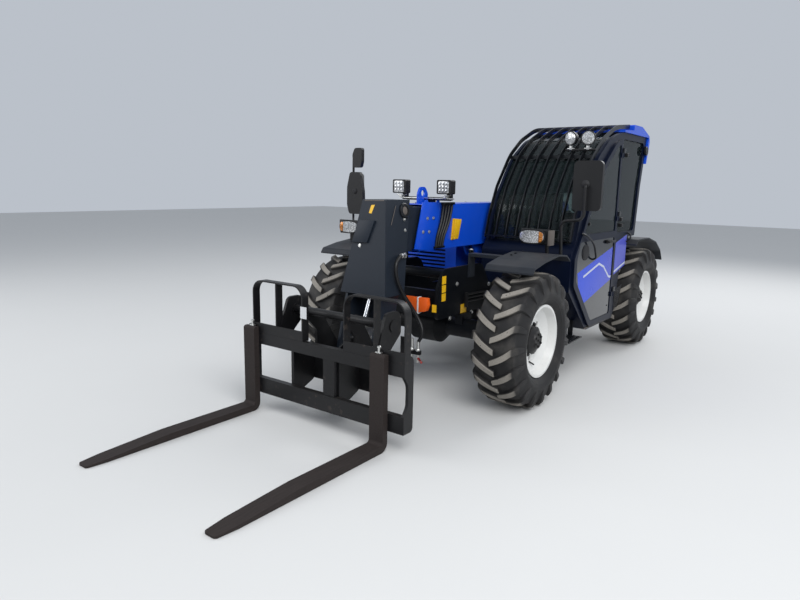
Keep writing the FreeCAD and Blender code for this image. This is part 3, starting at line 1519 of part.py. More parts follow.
def build_mirrors():
    """The left mirror on its arm and the two right mirrors on a pole."""
    x = size.mirror_x
    half = size.mirror_half_width
    case = prism("mirror_case_left", "XZ", size.mirror_y, size.mirror_y + size.mirror_depth, [
        (x - half, size.mirror_bottom_z, 40), (x + half, size.mirror_bottom_z, 40),
        (x + half, size.mirror_top_z, 40), (x - half, size.mirror_top_z, 40),
    ])
    middle = (size.mirror_bottom_z + size.mirror_top_z) / 2
    inner = x - half * 1.6
    foot = size.cab_outline_y1
    arm = bent_tube("mirror_arm_left", [
        (inner, foot - 0.3, 1090), (inner, foot - 60, 1090), (inner, size.mirror_y - 30, 1400),
        (x, size.mirror_y - 30, 1420), (x, size.mirror_y - 30, middle),
        (x, size.mirror_y + 4, middle),
    ], size.mirror_arm_radius, 60)
    node("mirrors", together("mirror_set", fuse("mirror_left", case, arm), pole_mirrors()))


def pole_mirrors():
    """A tall and a wide angle mirror on the pole that leans out from the right mudguard."""
    x = -size.pole_x
    y = size.pole_y
    foot_x = -size.pole_foot_x
    foot_y = size.pole_foot_y
    foot_z = guard_top(foot_y + 20)
    front = y - size.pole_radius - size.mirror_depth - 8
    parts = [prism("mirror_case_tall", "XZ", front, front + size.mirror_depth,
                   size.corners("tall_mirror")),
             prism("mirror_case_wide", "XZ", front, front + size.mirror_depth,
                   size.corners("wide_mirror"))]
    parts.append(bent_tube("mirror_pole", [
        (foot_x, foot_y, foot_z + 4), (foot_x, foot_y, foot_z + 60), (x, y, size.pole_bend_z),
        (x, y, size.pole_top_z), (x + 90, y, size.pole_top_z),
    ], size.pole_radius, 40))
    parts.append(box("mirror_pole_foot", (foot_x - 24, foot_x + 24),
                     (foot_y - 20, foot_y + 20), (foot_z, foot_z + 8)))
    for label, clamp_x, z in (("tall", x, size.tall_mirror_z4), ("wide", x + 75, size.pole_top_z)):
        parts.append(box("mirror_clamp_" + label, (clamp_x - 14, clamp_x + 14),
                         (front + size.mirror_depth - 4, y + size.pole_radius),
                         (z - 20, z + 20)))
    return fuse("mirror_right", *parts)


# boom

def build_outer_boom():
    """The hinged outer boom: a box tube with pivot bosses, cylinder lugs and a front collar."""
    half = size.boom_half_width
    x = size.boom_x
    side = [
        (size.boom_front_bottom_y, size.boom_bottom_z, 0), (size.boom_rear_y, size.boom_bottom_z, 60),
        (size.boom_rear_y, size.boom_top_z - 40, 60), (size.boom_rear_y - 160, size.boom_top_z, 60),
        (size.boom_front_top_y, size.boom_top_z, 0),
    ]
    shell = prism("outer_tube", "YZ", x - half, x + half, side)
    wall = size.boom_wall
    bore = box("outer_bore", (x - half + wall, x + half - wall),
               (size.boom_front_bottom_y - 100, size.inner_rear_y + 60),
               (size.boom_bottom_z + wall, size.boom_top_z - wall))
    hole = rod("outer_pin_hole", "X", (x - half - 50, size.boom_pivot_y, size.boom_pivot_z),
               (half + 50) * 2, size.boom_pivot_radius + size.running_play)
    gap = size.lift_eye_half_width + size.side_play
    lugs = []
    for label, low in (("left", gap), ("right", -gap - size.lift_lug)):
        lugs.append(prism("lift_lug_" + label, "YZ", x + low, x + low + size.lift_lug, [
            (size.lift_eye_y - 130, size.boom_bottom_z + 2, 0),
            (size.lift_eye_y - 52, size.lift_eye_z - 52, 50),
            (size.lift_eye_y + 52, size.lift_eye_z - 52, 50),
            (size.lift_eye_y + 130, size.boom_bottom_z + 2, 0),
        ]))
    eye = prism("lifting_eye", "YZ", x - 8, x + 8, [
        (-150, size.boom_top_z - 2, 0), (-20, size.boom_top_z - 2, 0), (-10, 1600, 30),
        (-50, 1655, 40), (-120, 1655, 40), (-150, 1600, 30),
    ], holes=[(-80, 1605, 26)])
    solid = fuse("outer_solid", shell, eye, *lugs)
    node("boom_outer", cut("boom_outer_pieces", solid, bore, hole))


def build_boom_lamps():
    """Two square work lamps on a bar across the outer boom."""
    x = size.boom_x
    middle = (size.boom_lamp_bottom_z + size.boom_lamp_top_z) / 2
    off = size.boom_lamp_offset
    y = size.boom_lamp_y
    bar = rod("lamp_bar", "X", (x - off, y + size.boom_lamp_depth + 45, 1560), off * 2,
              size.lamp_bar_radius)
    foot = box("lamp_bar_foot", (x - 60, x + 60),
               (y + size.boom_lamp_depth + 25, y + size.boom_lamp_depth + 65),
               (size.boom_top_z + 0.3, 1556))
    parts = [bar, foot]
    for label, sign in (("left", 1), ("right", -1)):
        centre = x + off * sign
        case = prism("boom_lamp_" + label, "XZ", y, y + size.boom_lamp_depth, [
            (centre - size.boom_lamp_half, size.boom_lamp_bottom_z, 12),
            (centre + size.boom_lamp_half, size.boom_lamp_bottom_z, 12),
            (centre + size.boom_lamp_half, size.boom_lamp_top_z, 12),
            (centre - size.boom_lamp_half, size.boom_lamp_top_z, 12),
        ])
        post = box("boom_lamp_post_" + label, (centre - 12, centre + 12),
                   (y + size.boom_lamp_depth - 4, y + size.boom_lamp_depth + 55),
                   (1550, size.boom_lamp_bottom_z + 30))
        parts.append(case)
        parts.append(post)
    node("boom_lamps", fuse("boom_lamp_pieces", *parts))


def build_inner_boom():
    """The sliding inner boom with its wear pads."""
    x = size.boom_x
    half = size.inner_half_width
    wall = size.inner_wall
    tube = box("inner_tube", (x - half, x + half), (size.inner_front_y, size.inner_rear_y),
               (size.inner_bottom_z, size.inner_top_z))
    core = box("inner_core", (x - half + wall, x + half - wall),
               (size.inner_front_y - 1, size.inner_rear_y + 1),
               (size.inner_bottom_z + wall, size.inner_top_z - wall))
    shell = cut("inner_shell", tube, core)
    pads = []
    reach = size.boom_half_width - size.boom_wall - size.running_play
    low = size.boom_bottom_z + size.boom_wall + size.running_play
    high = size.boom_top_z - size.boom_wall - size.running_play
    rear = size.inner_rear_y
    pads.append(box("pad_top", (x - 60, x + 60), (rear - 120, rear), (size.inner_top_z - 2, high)))
    pads.append(box("pad_bottom", (x - 60, x + 60), (rear - 120, rear),
                    (low, size.inner_bottom_z + 2)))
    pads.append(box("pad_left", (x + half - 2, x + reach), (rear - 120, rear), (1270, 1400)))
    pads.append(box("pad_right", (x - reach, x - half + 2), (rear - 120, rear), (1270, 1400)))
    node("boom_inner", fuse("boom_inner_pieces", shell, *pads))


def loft_shell(name, sections):
    """A straight tapered body through rectangles: (z, x half width, front y, rear y)."""
    shift = size.origin_behind_front_axle.value
    wires = []
    for z, half, front, rear in sections:
        points = [
            vector(size.boom_x.value - half, front - shift, z),
            vector(size.boom_x.value + half, front - shift, z),
            vector(size.boom_x.value + half, rear - shift, z),
            vector(size.boom_x.value - half, rear - shift, z),
        ]
        wires.append(Part.makePolygon(points + points[:1]))
    shell = doc.addObject("Part::Feature", name)
    shell.Shape = Part.makeLoft(wires, True, True)
    return shell


def build_head():
    """The boom head: a flared hollow casting, a collar for the inner boom and two arms to the pivot."""
    x = size.boom_x
    top = size.head_top_z.value
    bottom = size.head_bottom_z.value
    wall = size.head_wall.value
    outer = loft_shell("head_outer", [
        (bottom, size.head_bottom_half.value, size.head_bottom_front_y.value,
         size.head_bottom_rear_y.value),
        (top, size.head_top_half.value, size.head_top_front_y.value, size.head_top_rear_y.value),
    ])
    inner = loft_shell("head_inner", [
        (bottom - 1, size.head_bottom_half.value - wall, size.head_bottom_front_y.value + wall,
         size.head_bottom_rear_y.value - wall),
        (top - wall, size.head_top_half.value - wall, size.head_top_front_y.value + wall,
         size.head_top_rear_y.value - wall),
    ])
    collar = box("head_collar", (x - size.collar_half_width, x + size.collar_half_width),
                 (size.inner_front_y - 160, size.inner_front_y - 0.3),
                 (size.collar_bottom_z, size.collar_top_z))
    shell = cut("head_shell", fuse("head_solid", outer, collar), inner)
    parts = [shell]
    py = size.tilt_pivot_y
    pz = size.tilt_pivot_z
    pin_hole = size.tilt_pin_radius + size.running_play
    for label, low in (("left", size.arm_offset), ("right", -size.arm_offset - size.arm_plate)):
        parts.append(prism("head_arm_" + label, "YZ", x + low, x + low + size.arm_plate, [
            (size.head_bottom_rear_y + 8, size.head_bottom_z + 120, 0),
            (size.head_bottom_front_y + 32, size.head_bottom_z + 120, 0),
            (size.head_bottom_front_y + 12, size.head_bottom_z, 200),
            (py - 66, pz + 60, 40), (py - 50, pz - 62, 40), (py + 60, pz - 50, 50),
            (size.head_bottom_rear_y - 90, pz + 260, 200), (size.head_bottom_rear_y, size.head_bottom_z, 60),
        ], holes=[(py, pz, pin_hole)]))
    parts.append(box("head_web", (x - size.arm_offset - 2, x + size.arm_offset + 2),
                     (size.head_bottom_rear_y - 60, size.head_bottom_rear_y - 38),
                     (pz + 330, size.head_bottom_z + 20)))
    gap = size.tilt_eye_half_width + size.side_play
    for label, low in (("left", gap), ("right", -gap - size.tilt_lug)):
        parts.append(prism("tilt_ear_" + label, "YZ", x + low, x + low + size.tilt_lug, [
            (size.tilt_base_y - 40, size.tilt_base_z - 40, 38),
            (size.tilt_base_y + 60, size.tilt_base_z - 40, 0),
            (size.tilt_base_y + 85, size.head_top_z - 6, 0),
            (size.tilt_base_y - 40, size.head_top_z - 6, 0),
        ]))
    parts.append(rod("tilt_base_pin", "X", (x - gap - size.tilt_lug, size.tilt_base_y, size.tilt_base_z),
                     (gap + size.tilt_lug) * 2, size.tilt_pin_small))
    node("boom_head", fuse("boom_head_pieces", *parts))


def build_cylinder(name, base, end, x, spec):
    """A hydraulic cylinder: a hollow barrel and a rod with piston and eye."""
    length = math.hypot(end[0].value - base[0].value, end[1].value - base[1].value)
    reach = Dim("sqrt((%s) * (%s) + (%s) * (%s))" % (
        (end[0] - base[0]).text, (end[0] - base[0]).text,
        (end[1] - base[1]).text, (end[1] - base[1]).text), length)
    cap = size.cylinder_cap
    mouth = spec["length"]
    gland = mouth - size.gland_length
    eye = spec["eye_radius"]
    play = size.running_play
    neck = spec["half"] - 3
    barrel = lathe(name + "_tube", [
        (eye - 12, 0), (eye - 12, neck), (eye + 12, neck), (eye + 12, spec["radius"]),
        (mouth, spec["radius"]), (mouth, spec["rod"] + play), (gland, spec["rod"] + play),
        (gland, spec["bore"]), (eye + cap, spec["bore"]), (eye + cap, 0),
    ], "Z")
    aim(barrel, base, end, x)
    half = spec["half"]
    ring = rod(name + "_base_eye", "X", (x - half, base[0], base[1]), half * 2, eye)
    hole = rod(name + "_base_hole", "X", (x - half - 1, base[0], base[1]), half * 2 + 2,
               spec["pin"] + play)
    node(name + "_barrel", cut(name + "_barrel_pieces", fuse(name + "_barrel_solid", barrel, ring),
                               hole))
    start = eye + cap + spec["rest_gap"]
    stem = lathe(name + "_stem", [
        (start, 0), (start, spec["bore"] - play), (start + size.piston_length, spec["bore"] - play),
        (start + size.piston_length, spec["rod"]), (reach - eye + 6, spec["rod"]),
        (reach - eye + 6, 0),
    ], "Z")
    aim(stem, base, end, x)
    eye_ring = rod(name + "_rod_eye", "X", (x - half, end[0], end[1]), half * 2, eye)
    node(name + "_rod", fuse(name + "_rod_pieces", stem, eye_ring))


def build_cylinders():
    """Lift cylinder under the boom and tilt cylinder inside the head."""
    build_cylinder("lift", (size.lift_base_y, size.lift_base_z), (size.lift_eye_y, size.lift_eye_z),
                   size.boom_x, {
                       "radius": size.lift_barrel_radius, "bore": size.lift_bore_radius,
                       "rod": size.lift_rod_radius, "length": size.lift_barrel_length,
                       "eye_radius": size.lift_eye_radius, "half": size.lift_eye_half_width,
                       "pin": size.lift_pin_radius, "rest_gap": 20})
    build_cylinder("tilt", (size.tilt_base_y, size.tilt_base_z), (size.tilt_eye_y, size.tilt_eye_z),
                   size.boom_x, {
                       "radius": size.tilt_barrel_radius, "bore": size.tilt_bore_radius,
                       "rod": size.tilt_rod_radius, "length": size.tilt_barrel_length,
                       "eye_radius": size.tilt_eye_radius, "half": size.tilt_eye_half_width,
                       "pin": size.tilt_pin_small, "rest_gap": 55})


# coupler, carriage and forks

def build_coupler():
    """The tool carrier on the boom head, with the hooks for the carriage."""
    x = size.boom_x
    py = size.tilt_pivot_y
    pz = size.tilt_pivot_z
    off = size.arm_offset + size.arm_plate + size.side_play
    face = size.coupler_face_y
    seat = size.hook_tube_radius + size.running_play
    front = size.hook_y - seat - size.hook_lip
    parts = []
    for label, low in (("left", off), ("right", -off - size.coupler_plate)):
        plate = prism("coupler_side_" + label, "YZ", x + low, x + low + size.coupler_plate, [
            (py + 52, pz - 52, 50), (py + 52, pz + 52, 50), (size.hook_y + 90, size.hook_z + 10, 16),
            (front, size.hook_z + 10, 0), (front, size.hook_z - seat - size.hook_lip, 20),
            (face, size.hook_z - 150, 60), (face, size.coupler_beam_bottom_z, 0),
        ])
        span = (x + low - 1, x + low + size.coupler_plate + 1)
        slot = box("hook_slot_" + label, span, (front - 1, size.hook_y + seat),
                   (size.hook_z, size.hook_z + 20))
        round_seat = rod("hook_seat_" + label, "X", (span[0], size.hook_y, size.hook_z),
                         span[1] - span[0], seat)
        parts.append(cut("coupler_hook_" + label, plate, slot, round_seat))
    parts.append(box("coupler_beam", (x - size.coupler_beam_half, x + size.coupler_beam_half),
                     (face, face + size.coupler_beam_depth),
                     (size.coupler_beam_bottom_z, size.coupler_beam_top_z)))
    parts.append(rod("coupler_pin", "X", (x - off - size.coupler_plate, py, pz),
                     (off + size.coupler_plate) * 2, size.tilt_pin_radius))
    gap = size.tilt_eye_half_width + size.side_play
    for label, low in (("left", gap), ("right", -gap - size.tilt_lug)):
        parts.append(prism("tilt_lug_" + label, "YZ", x + low, x + low + size.tilt_lug, [
            (face + 20, size.coupler_beam_bottom_z + 20, 0), (py + 30, pz - 30, 30),
            (size.tilt_eye_y + 34, size.tilt_eye_z + 34, 34),
            (size.tilt_eye_y - 34, size.tilt_eye_z + 34, 34),
            (face + 20, size.coupler_beam_top_z - 20, 0),
        ]))
    node("coupler", fuse("coupler_pieces", *parts))


def hoop(name, low, middle, high):
    """A guard loop of flat strip with three legs, standing on the upper bar."""
    front = size.carriage_front_y + 2
    strip = size.hoop_strip
    top = size.hoop_top_z
    under = top - strip
    base = size.upper_bar_top_z - 2
    bend = size.hoop_round
    return prism(name, "XZ", front, front + size.hoop_depth, [
        (low, base), (low + strip, base), (low + strip, under, bend - strip),
        (middle - strip / 2, under), (middle - strip / 2, base), (middle + strip / 2, base),
        (middle + strip / 2, under), (high - strip, under, bend - strip), (high - strip, base),
        (high, base), (high, top, bend), (low, top, bend),
    ])


def carriage_ear(name, x, back):
    """An ear plate that carries the cross tube, with the tube's end disc on its outer side."""
    half = size.ear_plate / 2
    y = size.hook_y
    z = size.hook_z
    high = z + 95
    plate = prism(name, "YZ", x - half, x + half, [
        (back - 2, size.upper_bar_bottom_z + 4, 0), (back - 2, size.hoop_rail_z, 20),
        (back + 28, z - 20, 40), (y - 70, high, 50), (y + 85, high, 60),
        (y + 85, z - 60, 40), (y - 10, size.hoop_rail_z - 40, 60),
        (back + 40, size.upper_bar_bottom_z + 4, 0),
    ])
    disc = rod(name + "_disc", "X", (x - half - 8, y, z), size.ear_plate + 16, size.ear_disc_radius)
    return fuse(name + "_pieces", plate, disc)


def build_carriage():
    """Fork bars, end plates, ribs, ears with the cross tube, and the loops above them."""
    x = size.carriage_x
    half = size.carriage_half_width
    front = size.carriage_front_y
    back = front + size.carriage_bar_depth
    span = (x - half, x + half)
    parts = [
        box("bar_upper", span, (front, back), (size.upper_bar_bottom_z, size.upper_bar_top_z)),
        box("bar_lower", span, (front, back), (size.lower_bar_bottom_z, size.lower_bar_top_z)),
    ]
    rear = size.end_plate_rear_y
    for label, low in (("left", x + half - size.end_plate), ("right", x - half)):
        parts.append(prism("end_plate_" + label, "YZ", low, low + size.end_plate, [
            (front + 2, size.lower_bar_bottom_z, 0), (rear, size.lower_bar_bottom_z, 30),
            (rear, size.end_plate_top_z, 60), (front + 2, size.end_plate_top_z, 10),
            (front + 2, size.upper_bar_bottom_z, 20), (back, size.upper_bar_bottom_z - 60, 80),
            (back, size.lower_bar_top_z + 60, 80), (front + 2, size.lower_bar_top_z, 20),
        ]))
    parts.append(box("upright", (size.upright_x - size.upright_half, size.upright_x + size.upright_half),
                     (front + 8, front + 44), (size.lower_bar_top_z - 2, size.upper_bar_bottom_z + 2)))
    rib_off = size.arm_offset + size.arm_plate + size.side_play * 2 + size.coupler_plate
    face = size.coupler_face_y - size.running_play
    for label, low in (("left", size.boom_x + rib_off), ("right", size.boom_x - rib_off - 24)):
        parts.append(prism("carriage_rib_" + label, "YZ", low, low + 24, [
            (back - 2, size.lower_bar_bottom_z + 20, 0), (face, size.coupler_beam_bottom_z, 30),
            (face, size.coupler_beam_top_z, 30), (back - 2, size.upper_bar_top_z - 10, 0),
        ]))
    for label, ear_x in (("left", size.ear_left_x), ("right", size.ear_right_x)):
        parts.append(carriage_ear("ear_" + label, ear_x, back))
    parts.append(rod("hook_tube", "X", (size.ear_right_x, size.hook_y, size.hook_z),
                     size.ear_left_x - size.ear_right_x, size.hook_tube_radius))
    strip = size.hoop_strip
    loops = (("right", x - half + 48, size.ear_right_x, size.boom_x - 75),
             ("left", size.boom_x + 298, size.ear_left_x, x + half))
    for label, low, middle, high in loops:
        parts.append(hoop("hoop_" + label, low, middle, high))
        parts.append(box("hoop_rail_" + label, (low + 2, high - 2), (front + 2, front + 2 + strip),
                         (size.upper_bar_top_z - 2, size.hoop_rail_z)))
    node("carriage", fuse("carriage_pieces", *parts))


def build_forks():
    """Two forged forks hooked over the carriage bars."""
    front = size.fork_shank_front_y
    back = front + size.fork_thickness
    ground = size.fork_ground
    tip = front + size.fork_thickness - size.fork_length
    thick = size.fork_thickness
    taper = tip + size.fork_taper_length
    forks = []
    for label, centre in (("right", size.fork_right_x), ("left", size.fork_left_x)):
        side = prism("fork_side_" + label, "YZ", centre - size.fork_half_width,
                     centre + size.fork_half_width, [
                         (back, ground, size.fork_heel_radius), (back, size.fork_shank_top_z, 6),
                         (front, size.fork_shank_top_z, 20), (front, ground + thick, 24),
                         (taper, ground + thick, 400), (tip, ground + size.fork_tip_thickness, 0),
                         (tip, ground, 0),
                     ])
        plan = prism("fork_plan_" + label, "XY", 0, size.fork_shank_top_z + 10, [
            (centre - size.fork_half_width, back + 5), (centre + size.fork_half_width, back + 5),
            (centre + size.fork_half_width, tip + 130, 60), (centre + size.fork_tip_half_width, tip, 20),
            (centre - size.fork_tip_half_width, tip, 20), (centre - size.fork_half_width, tip + 130, 60),
        ])
        fork = doc.addObject("Part::Common", "fork_" + label)
        fork.Base = side
        fork.Tool = plan
        forks.append(fork)
    node("forks", together("fork_pair", *forks))


build_wheels()
node("axles", together("axle_pair", build_axle("front", dim(0)), build_axle("rear", size.wheelbase)))
build_frame()
build_counterweight()
build_cab()
build_roof()
build_guard()
build_door()
build_hinges()
build_hood()
build_engine_bay()
build_fenders()
build_seat()
build_controls()
build_lamps()
build_mirrors()
build_outer_boom()
build_boom_lamps()
build_inner_boom()
build_head()
build_cylinders()
build_coupler()
build_carriage()
build_forks()
doc.recompute()

for item in doc.Objects:
    if "Invalid" in item.State or "Error" in item.State:
        raise RuntimeError("%s failed: %s" % (item.Name, item.State))
faulty = [name for name, item in nodes.items() if item.Shape.isNull() or not item.Shape.isValid()]
if faulty:
    raise RuntimeError("no valid shape: %s" % ", ".join(faulty))

os.makedirs("parts", exist_ok=True)
for name, item in nodes.items():
    item.Shape.exportStep("parts/%s.step" % name)
    print("%-24s %3d solids %12.0f mm3" % (name, len(item.Shape.Solids), item.Shape.Volume))
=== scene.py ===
"""A compact telehandler dressed for its portrait: finishes, tyres, fasteners, hoses, trim and view.

Metres, +Z up, front towards -Y, cab on the +X side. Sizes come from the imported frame.
"""

import json
import logging
import math
from dataclasses import dataclass, field
from enum import Enum

import bmesh
import bpy
from mathutils import Matrix, Vector

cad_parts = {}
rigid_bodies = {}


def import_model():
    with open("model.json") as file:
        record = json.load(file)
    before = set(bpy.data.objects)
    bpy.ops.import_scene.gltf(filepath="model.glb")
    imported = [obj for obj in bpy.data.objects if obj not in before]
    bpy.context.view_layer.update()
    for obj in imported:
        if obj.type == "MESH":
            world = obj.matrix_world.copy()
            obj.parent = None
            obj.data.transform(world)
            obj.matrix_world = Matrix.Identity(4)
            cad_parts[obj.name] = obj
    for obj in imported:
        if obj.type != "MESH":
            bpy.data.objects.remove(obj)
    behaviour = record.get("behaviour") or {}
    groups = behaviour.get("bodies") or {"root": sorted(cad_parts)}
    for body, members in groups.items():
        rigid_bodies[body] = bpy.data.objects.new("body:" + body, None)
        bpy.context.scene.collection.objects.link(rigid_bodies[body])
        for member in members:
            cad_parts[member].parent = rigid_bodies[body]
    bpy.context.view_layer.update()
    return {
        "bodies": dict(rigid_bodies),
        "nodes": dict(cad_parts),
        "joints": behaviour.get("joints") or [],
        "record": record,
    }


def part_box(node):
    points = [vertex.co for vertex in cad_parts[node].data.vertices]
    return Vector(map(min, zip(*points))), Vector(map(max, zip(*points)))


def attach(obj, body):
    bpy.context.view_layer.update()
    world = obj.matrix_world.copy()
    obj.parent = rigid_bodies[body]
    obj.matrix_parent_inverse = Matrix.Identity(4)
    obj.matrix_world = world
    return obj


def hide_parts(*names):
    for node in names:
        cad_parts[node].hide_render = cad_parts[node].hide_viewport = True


LOG = logging.getLogger("telehandler")
Colour = tuple[float, float, float]
Point = tuple[float, float, float]
Flat = tuple[float, float]
CORNERS = ("front_left", "front_right", "rear_left", "rear_right")
WELD_LENGTH = 1e-6
SHARP_ANGLE = math.radians(32)


class Sock:
    """One value in a node tree, which adds Math nodes when it is used in an expression."""

    def __init__(self, graph: "NodeSet", link: bpy.types.NodeSocket) -> None:
        """Keeps the tree and the output socket."""
        self.graph = graph
        self.link = link

    def math(self, operation: str, *others: "Sock | float") -> "Sock":
        """Adds one Math node.

        Args:
            operation: the node's operation.
            others: the values of its next sockets.

        Returns:
            The node's result.
        """
        values = dict(enumerate((self, *others)))
        return self.graph.add("ShaderNodeMath", {"operation": operation}, values)

    def __add__(self, other: "Sock | float") -> "Sock":
        """The sum."""
        return self.math("ADD", other)

    def __sub__(self, other: "Sock | float") -> "Sock":
        """The difference."""
        return self.math("SUBTRACT", other)

    def __rsub__(self, other: float) -> "Sock":
        """The difference, reflected."""
        return self.graph.add("ShaderNodeMath", {"operation": "SUBTRACT"}, {0: other, 1: self})

    def __mul__(self, other: "Sock | float") -> "Sock":
        """The product."""
        return self.math("MULTIPLY", other)

    __radd__ = __add__
    __rmul__ = __mul__

    def clamp(self) -> "Sock":
        """The value kept between 0 and 1."""
        return self.math("MAXIMUM", 0.0).math("MINIMUM", 1.0)

    def step(self, low: float, high: float) -> "Sock":
        """A smooth step from 0 at low to 1 at high.

        Args:
            low: where the step starts.
            high: where it ends.

        Returns:
            The step's value.
        """
        return self.graph.add(
            "ShaderNodeMapRange", {"interpolation_type": "SMOOTHSTEP"},
            {"Value": self, "From Min": low, "From Max": high, "To Min": 0.0, "To Max": 1.0})


class NodeSet:
    """A node tree that is filled from Python."""

    def __init__(self, tree: bpy.types.NodeTree) -> None:
        """Keeps the tree."""
        self.tree = tree

    def add(self, kind: str, settings: dict | None = None, values: dict | None = None,
            output: int | str = 0) -> Sock:
        """Adds one node.

        Args:
            kind: the node's type.
            settings: its own settings, set first.
            values: numbers or links for its sockets, by name or place; a list joins several.
            output: which output is given back.

        Returns:
            The chosen output.
        """
        node = self.tree.nodes.new(kind)
        for key, value in (settings or {}).items():
            setattr(node, key, value)
        for key, value in (values or {}).items():
            if isinstance(value, list):
                for part in value:
                    self.tree.links.new(part.link, node.inputs[key])
            elif isinstance(value, Sock):
                self.tree.links.new(value.link, node.inputs[key])
            else:
                node.inputs[key].default_value = value
        return Sock(self, node.outputs[output])


class Graph(NodeSet):
    """The node tree of one finish."""

    def __init__(self, name: str) -> None:
        """Starts an empty material.

        Args:
            name: the finish's name.
        """
        self.material = bpy.data.materials.new(name)
        self.material.use_nodes = True
        super().__init__(self.material.node_tree)
        self.tree.nodes.clear()
        self._place: Sock | None = None

    def place(self) -> Sock:
        """The point on the piece, in the object's own metres."""
        if self._place is None:
            self._place = self.add("ShaderNodeTexCoord", output="Object")
        return self._place

    def axis(self, letter: str) -> Sock:
        """One coordinate of the point: X, Y or Z."""
        return self.add("ShaderNodeSeparateXYZ", None, {0: self.place()}, letter)

    def facing(self, letter: str) -> Sock:
        """One part of the surface's normal: X, Y or Z."""
        normal = self.add("ShaderNodeTexCoord", output="Normal")
        return self.add("ShaderNodeSeparateXYZ", None, {0: normal}, letter)

    def noise(self, scale: float, detail: float = 3.0, stretch: Colour = (1, 1, 1)) -> Sock:
        """Cloudy noise between 0 and 1.

        Args:
            scale: clouds to the metre.
            detail: how fine the clouds break up.
            stretch: the scale along each axis.

        Returns:
            The noise.
        """
        spot = self.add("ShaderNodeMapping", None, {"Vector": self.place(), "Scale": stretch})
        return self.add("ShaderNodeTexNoise", None,
                        {"Vector": spot, "Scale": scale, "Detail": detail}, "Fac")

    def mix(self, factor: "Sock | float", first: "Sock | Colour", second: "Sock | Colour") -> Sock:
        """A colour between two.

        Args:
            factor: 0 gives the first and 1 the second.
            first: a colour or a link.
            second: a colour or a link.

        Returns:
            The mixed colour.
        """
        pair = [value if isinstance(value, Sock) else (*value, 1.0) for value in (first, second)]
        return self.add("ShaderNodeMix", {"data_type": "RGBA"},
                        {0: factor, 6: pair[0], 7: pair[1]}, 2)

    def bump(self, height: Sock, depth: float, strength: float = 1.0) -> Sock:
        """A normal bent by a height.

        Args:
            height: the height, 0 to 1.
            depth: metres that a height of 1 stands for.
            strength: how much of it shows.

        Returns:
            The normal.
        """
        return self.add("ShaderNodeBump", None,
                        {"Height": height, "Distance": depth, "Strength": strength})

    def surface(self, **sockets: "Sock | float | tuple") -> Sock:
        """A Principled surface; a socket's spaces are written as low lines."""
        values = {key.replace("_", " "): value for key, value in sockets.items()}
        return self.add("ShaderNodeBsdfPrincipled", None, values)

    def finish(self, shader: Sock) -> bpy.types.Material:
        """Ends the tree.

        Args:
            shader: the surface.

        Returns:
            The material.
        """
        node = self.tree.nodes.new("ShaderNodeOutputMaterial")
        self.tree.links.new(shader.link, node.inputs["Surface"])
        return self.material


DUST = (0.30, 0.27, 0.235)


def darker(colour: Colour, share: float) -> Colour:
    """A colour with each part multiplied by a share, which may also be over 1."""
    return tuple(part * share for part in colour)


@dataclass(frozen=True)
class Coat:
    """A finish, made from the shader that each kind of finish gives."""

    name: str

    def make(self) -> bpy.types.Material:
        """Builds the finish."""
        graph = Graph(self.name)
        return graph.finish(self.shade(graph))

    def shade(self, graph: Graph) -> Sock:
        """The finish's shader.

        Args:
            graph: the tree that it is built in.

        Returns:
            The shader.
        """
        raise NotImplementedError


@dataclass(frozen=True)
class Paint(Coat):
    """Sprayed paint with road dust that gathers low down and on flat tops."""

    colour: Colour
    rough: float = 0.32
    coat: float = 0.1
    dust: float = 0.1
    gloss: float = 0.4
    peel: float = 0.00012

    def shade(self, graph: Graph) -> Sock:
        """Fills the tree."""
        clouds = graph.noise(3.1, 5.0)
        grains = graph.noise(46.0, 6.0)
        low = 1.0 - graph.axis("Z").step(0.25, 1.05)
        flat = graph.facing("Z").step(0.55, 0.98)
        film = (low * 0.75 + flat * 0.5 + 0.12) * clouds.step(0.3, 0.8)
        speckle = grains.step(0.52, 0.72) * 0.55 + 0.45
        dust = (film * speckle * self.dust).clamp()
        shade = graph.mix(clouds * 0.3, self.colour, darker(self.colour, 0.82))
        tint = graph.mix(dust, shade, DUST)
        rough = dust * 0.55 + (self.rough + grains * 0.08)
        ripple = graph.noise(260.0, 2.0)
        return graph.surface(
            Base_Color=tint, Roughness=rough, Coat_Weight=self.coat, Coat_Roughness=0.1,
            Specular_IOR_Level=self.gloss, Normal=graph.bump(ripple, self.peel, 0.5))


@dataclass(frozen=True)
class Band(Paint):
    """A printed band that runs from one blue to another along the machine."""

    far: Colour = (0.1, 0.12, 0.6)
    span: Flat = (0.55, 1.85)

    def shade(self, graph: Graph) -> Sock:
        """Fills the tree."""
        along = graph.axis("Y").step(*self.span)
        clouds = graph.noise(5.0, 4.0)
        tint = graph.mix((along + clouds * 0.06).clamp(), self.colour, self.far)
        return graph.surface(
            Base_Color=tint, Roughness=self.rough + clouds * 0.08, Coat_Weight=self.coat,
            Specular_IOR_Level=self.gloss, Normal=graph.bump(graph.noise(300.0), self.peel, 0.4))


